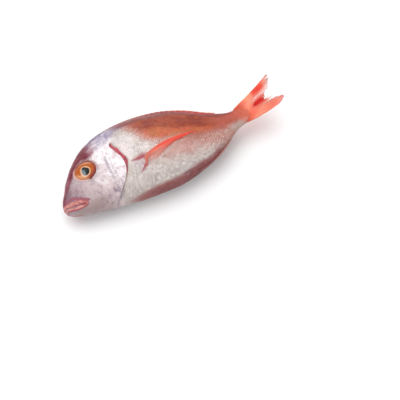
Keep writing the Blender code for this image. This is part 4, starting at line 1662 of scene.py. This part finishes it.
colour = add_mix(fin_colours, ray_mask, taken["Web"], taken["Ray"])
frayed_root = add_math(fin_colours, "ADD", along_fin, add_math(fin_colours, "MULTIPLY", blotches, 0.12))
near_root = add_range(fin_colours, frayed_root, 0.44, 0.16)
colour = add_mix(fin_colours, near_root, colour, taken["Root"])
frayed_tip = add_math(fin_colours, "ADD", along_fin, add_math(fin_colours, "MULTIPLY", blotches, 0.25))
near_tip = add_range(fin_colours, frayed_tip, 0.80, 1.12)
colour = add_mix(fin_colours, near_tip, colour, taken["Tip"])
last_bit = add_math(fin_colours, "MULTIPLY", add_range(fin_colours, along_fin, 0.90, 1.0), ray_mask)
colour = add_mix(fin_colours, add_math(fin_colours, "MULTIPLY", last_bit, 0.75), colour, tone("8c7082"))
marked = fin_colours.nodes.new("ShaderNodeSeparateXYZ")
fin_colours.links.new(taken["Marks"], marked.inputs[0])
red_mark, deep_mark, clear_mark = marked.outputs
colour = add_mix(fin_colours, add_math(fin_colours, "MULTIPLY", red_mark, 0.90), colour, tone("e63a28"))
colour = add_mix(fin_colours, deep_mark, colour, tone("b80404"))
shade = add_range(fin_colours, fibres, 0.3, 0.7, 0.85, 1.08)
toned = fin_colours.nodes.new("ShaderNodeVectorMath")
toned.operation = "SCALE"
fin_colours.links.new(colour, toned.inputs[0])
fin_colours.links.new(shade, toned.inputs["Scale"])
fin_colours.links.new(toned.outputs[0], given["Color"])
web = add_math(fin_colours, "SUBTRACT", 1.0, ray_mask)
far_out = add_range(fin_colours, along_fin, 0.25, 0.80)
clear = add_math(fin_colours, "MULTIPLY", add_math(fin_colours, "MULTIPLY", web, far_out), taken["Clear"])
clear = add_math(fin_colours, "MAXIMUM", clear, add_math(fin_colours, "MULTIPLY", clear_mark, 0.94))
clear = add_math(fin_colours, "MULTIPLY", clear, add_math(fin_colours, "SUBTRACT", 1.0, deep_mark))
fin_colours.links.new(add_math(fin_colours, "SUBTRACT", 1.0, clear), given["Alpha"])
ray_relief = add_math(fin_colours, "ADD", on_ray, add_math(fin_colours, "MULTIPLY", fibres, 0.6))
fin_colours.links.new(ray_relief, given["Height"])
print("fin colours group has", len(fin_colours.nodes), "nodes")

# %% Finish of each fin
# Colours of root, rays, web and tip, and how clear the web is
FIN_TONES = {
    "tail": ("d8664e", "f68464", "ffbea9", "ee9684", 0.65),
    "ridge": ("84484e", "9a5a60", "8e4e56", "9e646a", 0.1),
    "anal": ("84504c", "9c6c66", "8c5a56", "946460", 0.1),
    "chest": ("cc6e5e", "ea8672", "f09a86", "d86a58", 0.15),
    "belly": ("94524e", "a86c68", "96565a", "a87474", 0.1),
}
fin_looks = {}
for name, (root, ray, web, end, clear) in FIN_TONES.items():
    look, tree, shader = new_material(name + "_fin_web")
    at = add_attribute(tree, "fin_place").outputs["Vector"]
    marks = add_attribute(tree, "fin_marks").outputs["Vector"]
    tones = {"Root": tone(root), "Ray": tone(ray), "Web": tone(web), "Tip": tone(end)}
    mixed = add_group(tree, fin_colours, Place=at, Marks=marks, Clear=clear, **tones)
    tree.links.new(mixed.outputs["Color"], shader.inputs["Base Color"])
    tree.links.new(mixed.outputs["Alpha"], shader.inputs["Alpha"])
    bump = tree.nodes.new("ShaderNodeBump")
    bump.inputs["Strength"].default_value = 0.6
    bump.inputs["Distance"].default_value = 0.0002
    tree.links.new(mixed.outputs["Height"], bump.inputs["Height"])
    tree.links.new(bump.outputs["Normal"], shader.inputs["Normal"])
    shader.inputs["Subsurface Weight"].default_value = 0.5
    shader.inputs["Subsurface Radius"].default_value = (0.006, 0.003, 0.002)
    shader.inputs["Subsurface Scale"].default_value = 1.0
    shader.inputs["Roughness"].default_value = 0.40
    shader.inputs["Specular IOR Level"].default_value = 0.2
    shader.inputs["Coat Weight"].default_value = 0.15
    shader.inputs["Coat Roughness"].default_value = 0.15
    fin_looks[name] = look
pieces["tail_fin"].data.materials.append(fin_looks["tail"])
pieces["back_fin"].data.materials.append(fin_looks["ridge"])
pieces["anal_fin"].data.materials.append(fin_looks["anal"])
for side_name in ("left", "right"):
    pieces["chest_fin_" + side_name].data.materials.append(fin_looks["chest"])
    pieces["belly_fin_" + side_name].data.materials.append(fin_looks["belly"])
print("fin finishes:", ", ".join(fin_looks))

# %% [markdown]
# ## Floor
#
# The floor is a large plain white sheet, so wide that its edges lie outside the picture.

# %% Floor
bm = bmesh.new()
bmesh.ops.create_grid(bm, x_segments=2, y_segments=2, size=6.0)
floor_mesh = bpy.data.meshes.new("floor")
bm.to_mesh(floor_mesh)
bm.free()
floor = bpy.data.objects.new("floor", floor_mesh)
scene.collection.objects.link(floor)
floor_look, tree, shader = new_material("white_ground")
shader.inputs["Base Color"].default_value = (0.90, 0.90, 0.90, 1.0)
shader.inputs["Roughness"].default_value = 0.85
shader.inputs["Specular IOR Level"].default_value = 0.1
floor_mesh.materials.append(floor_look)
print("floor ready")
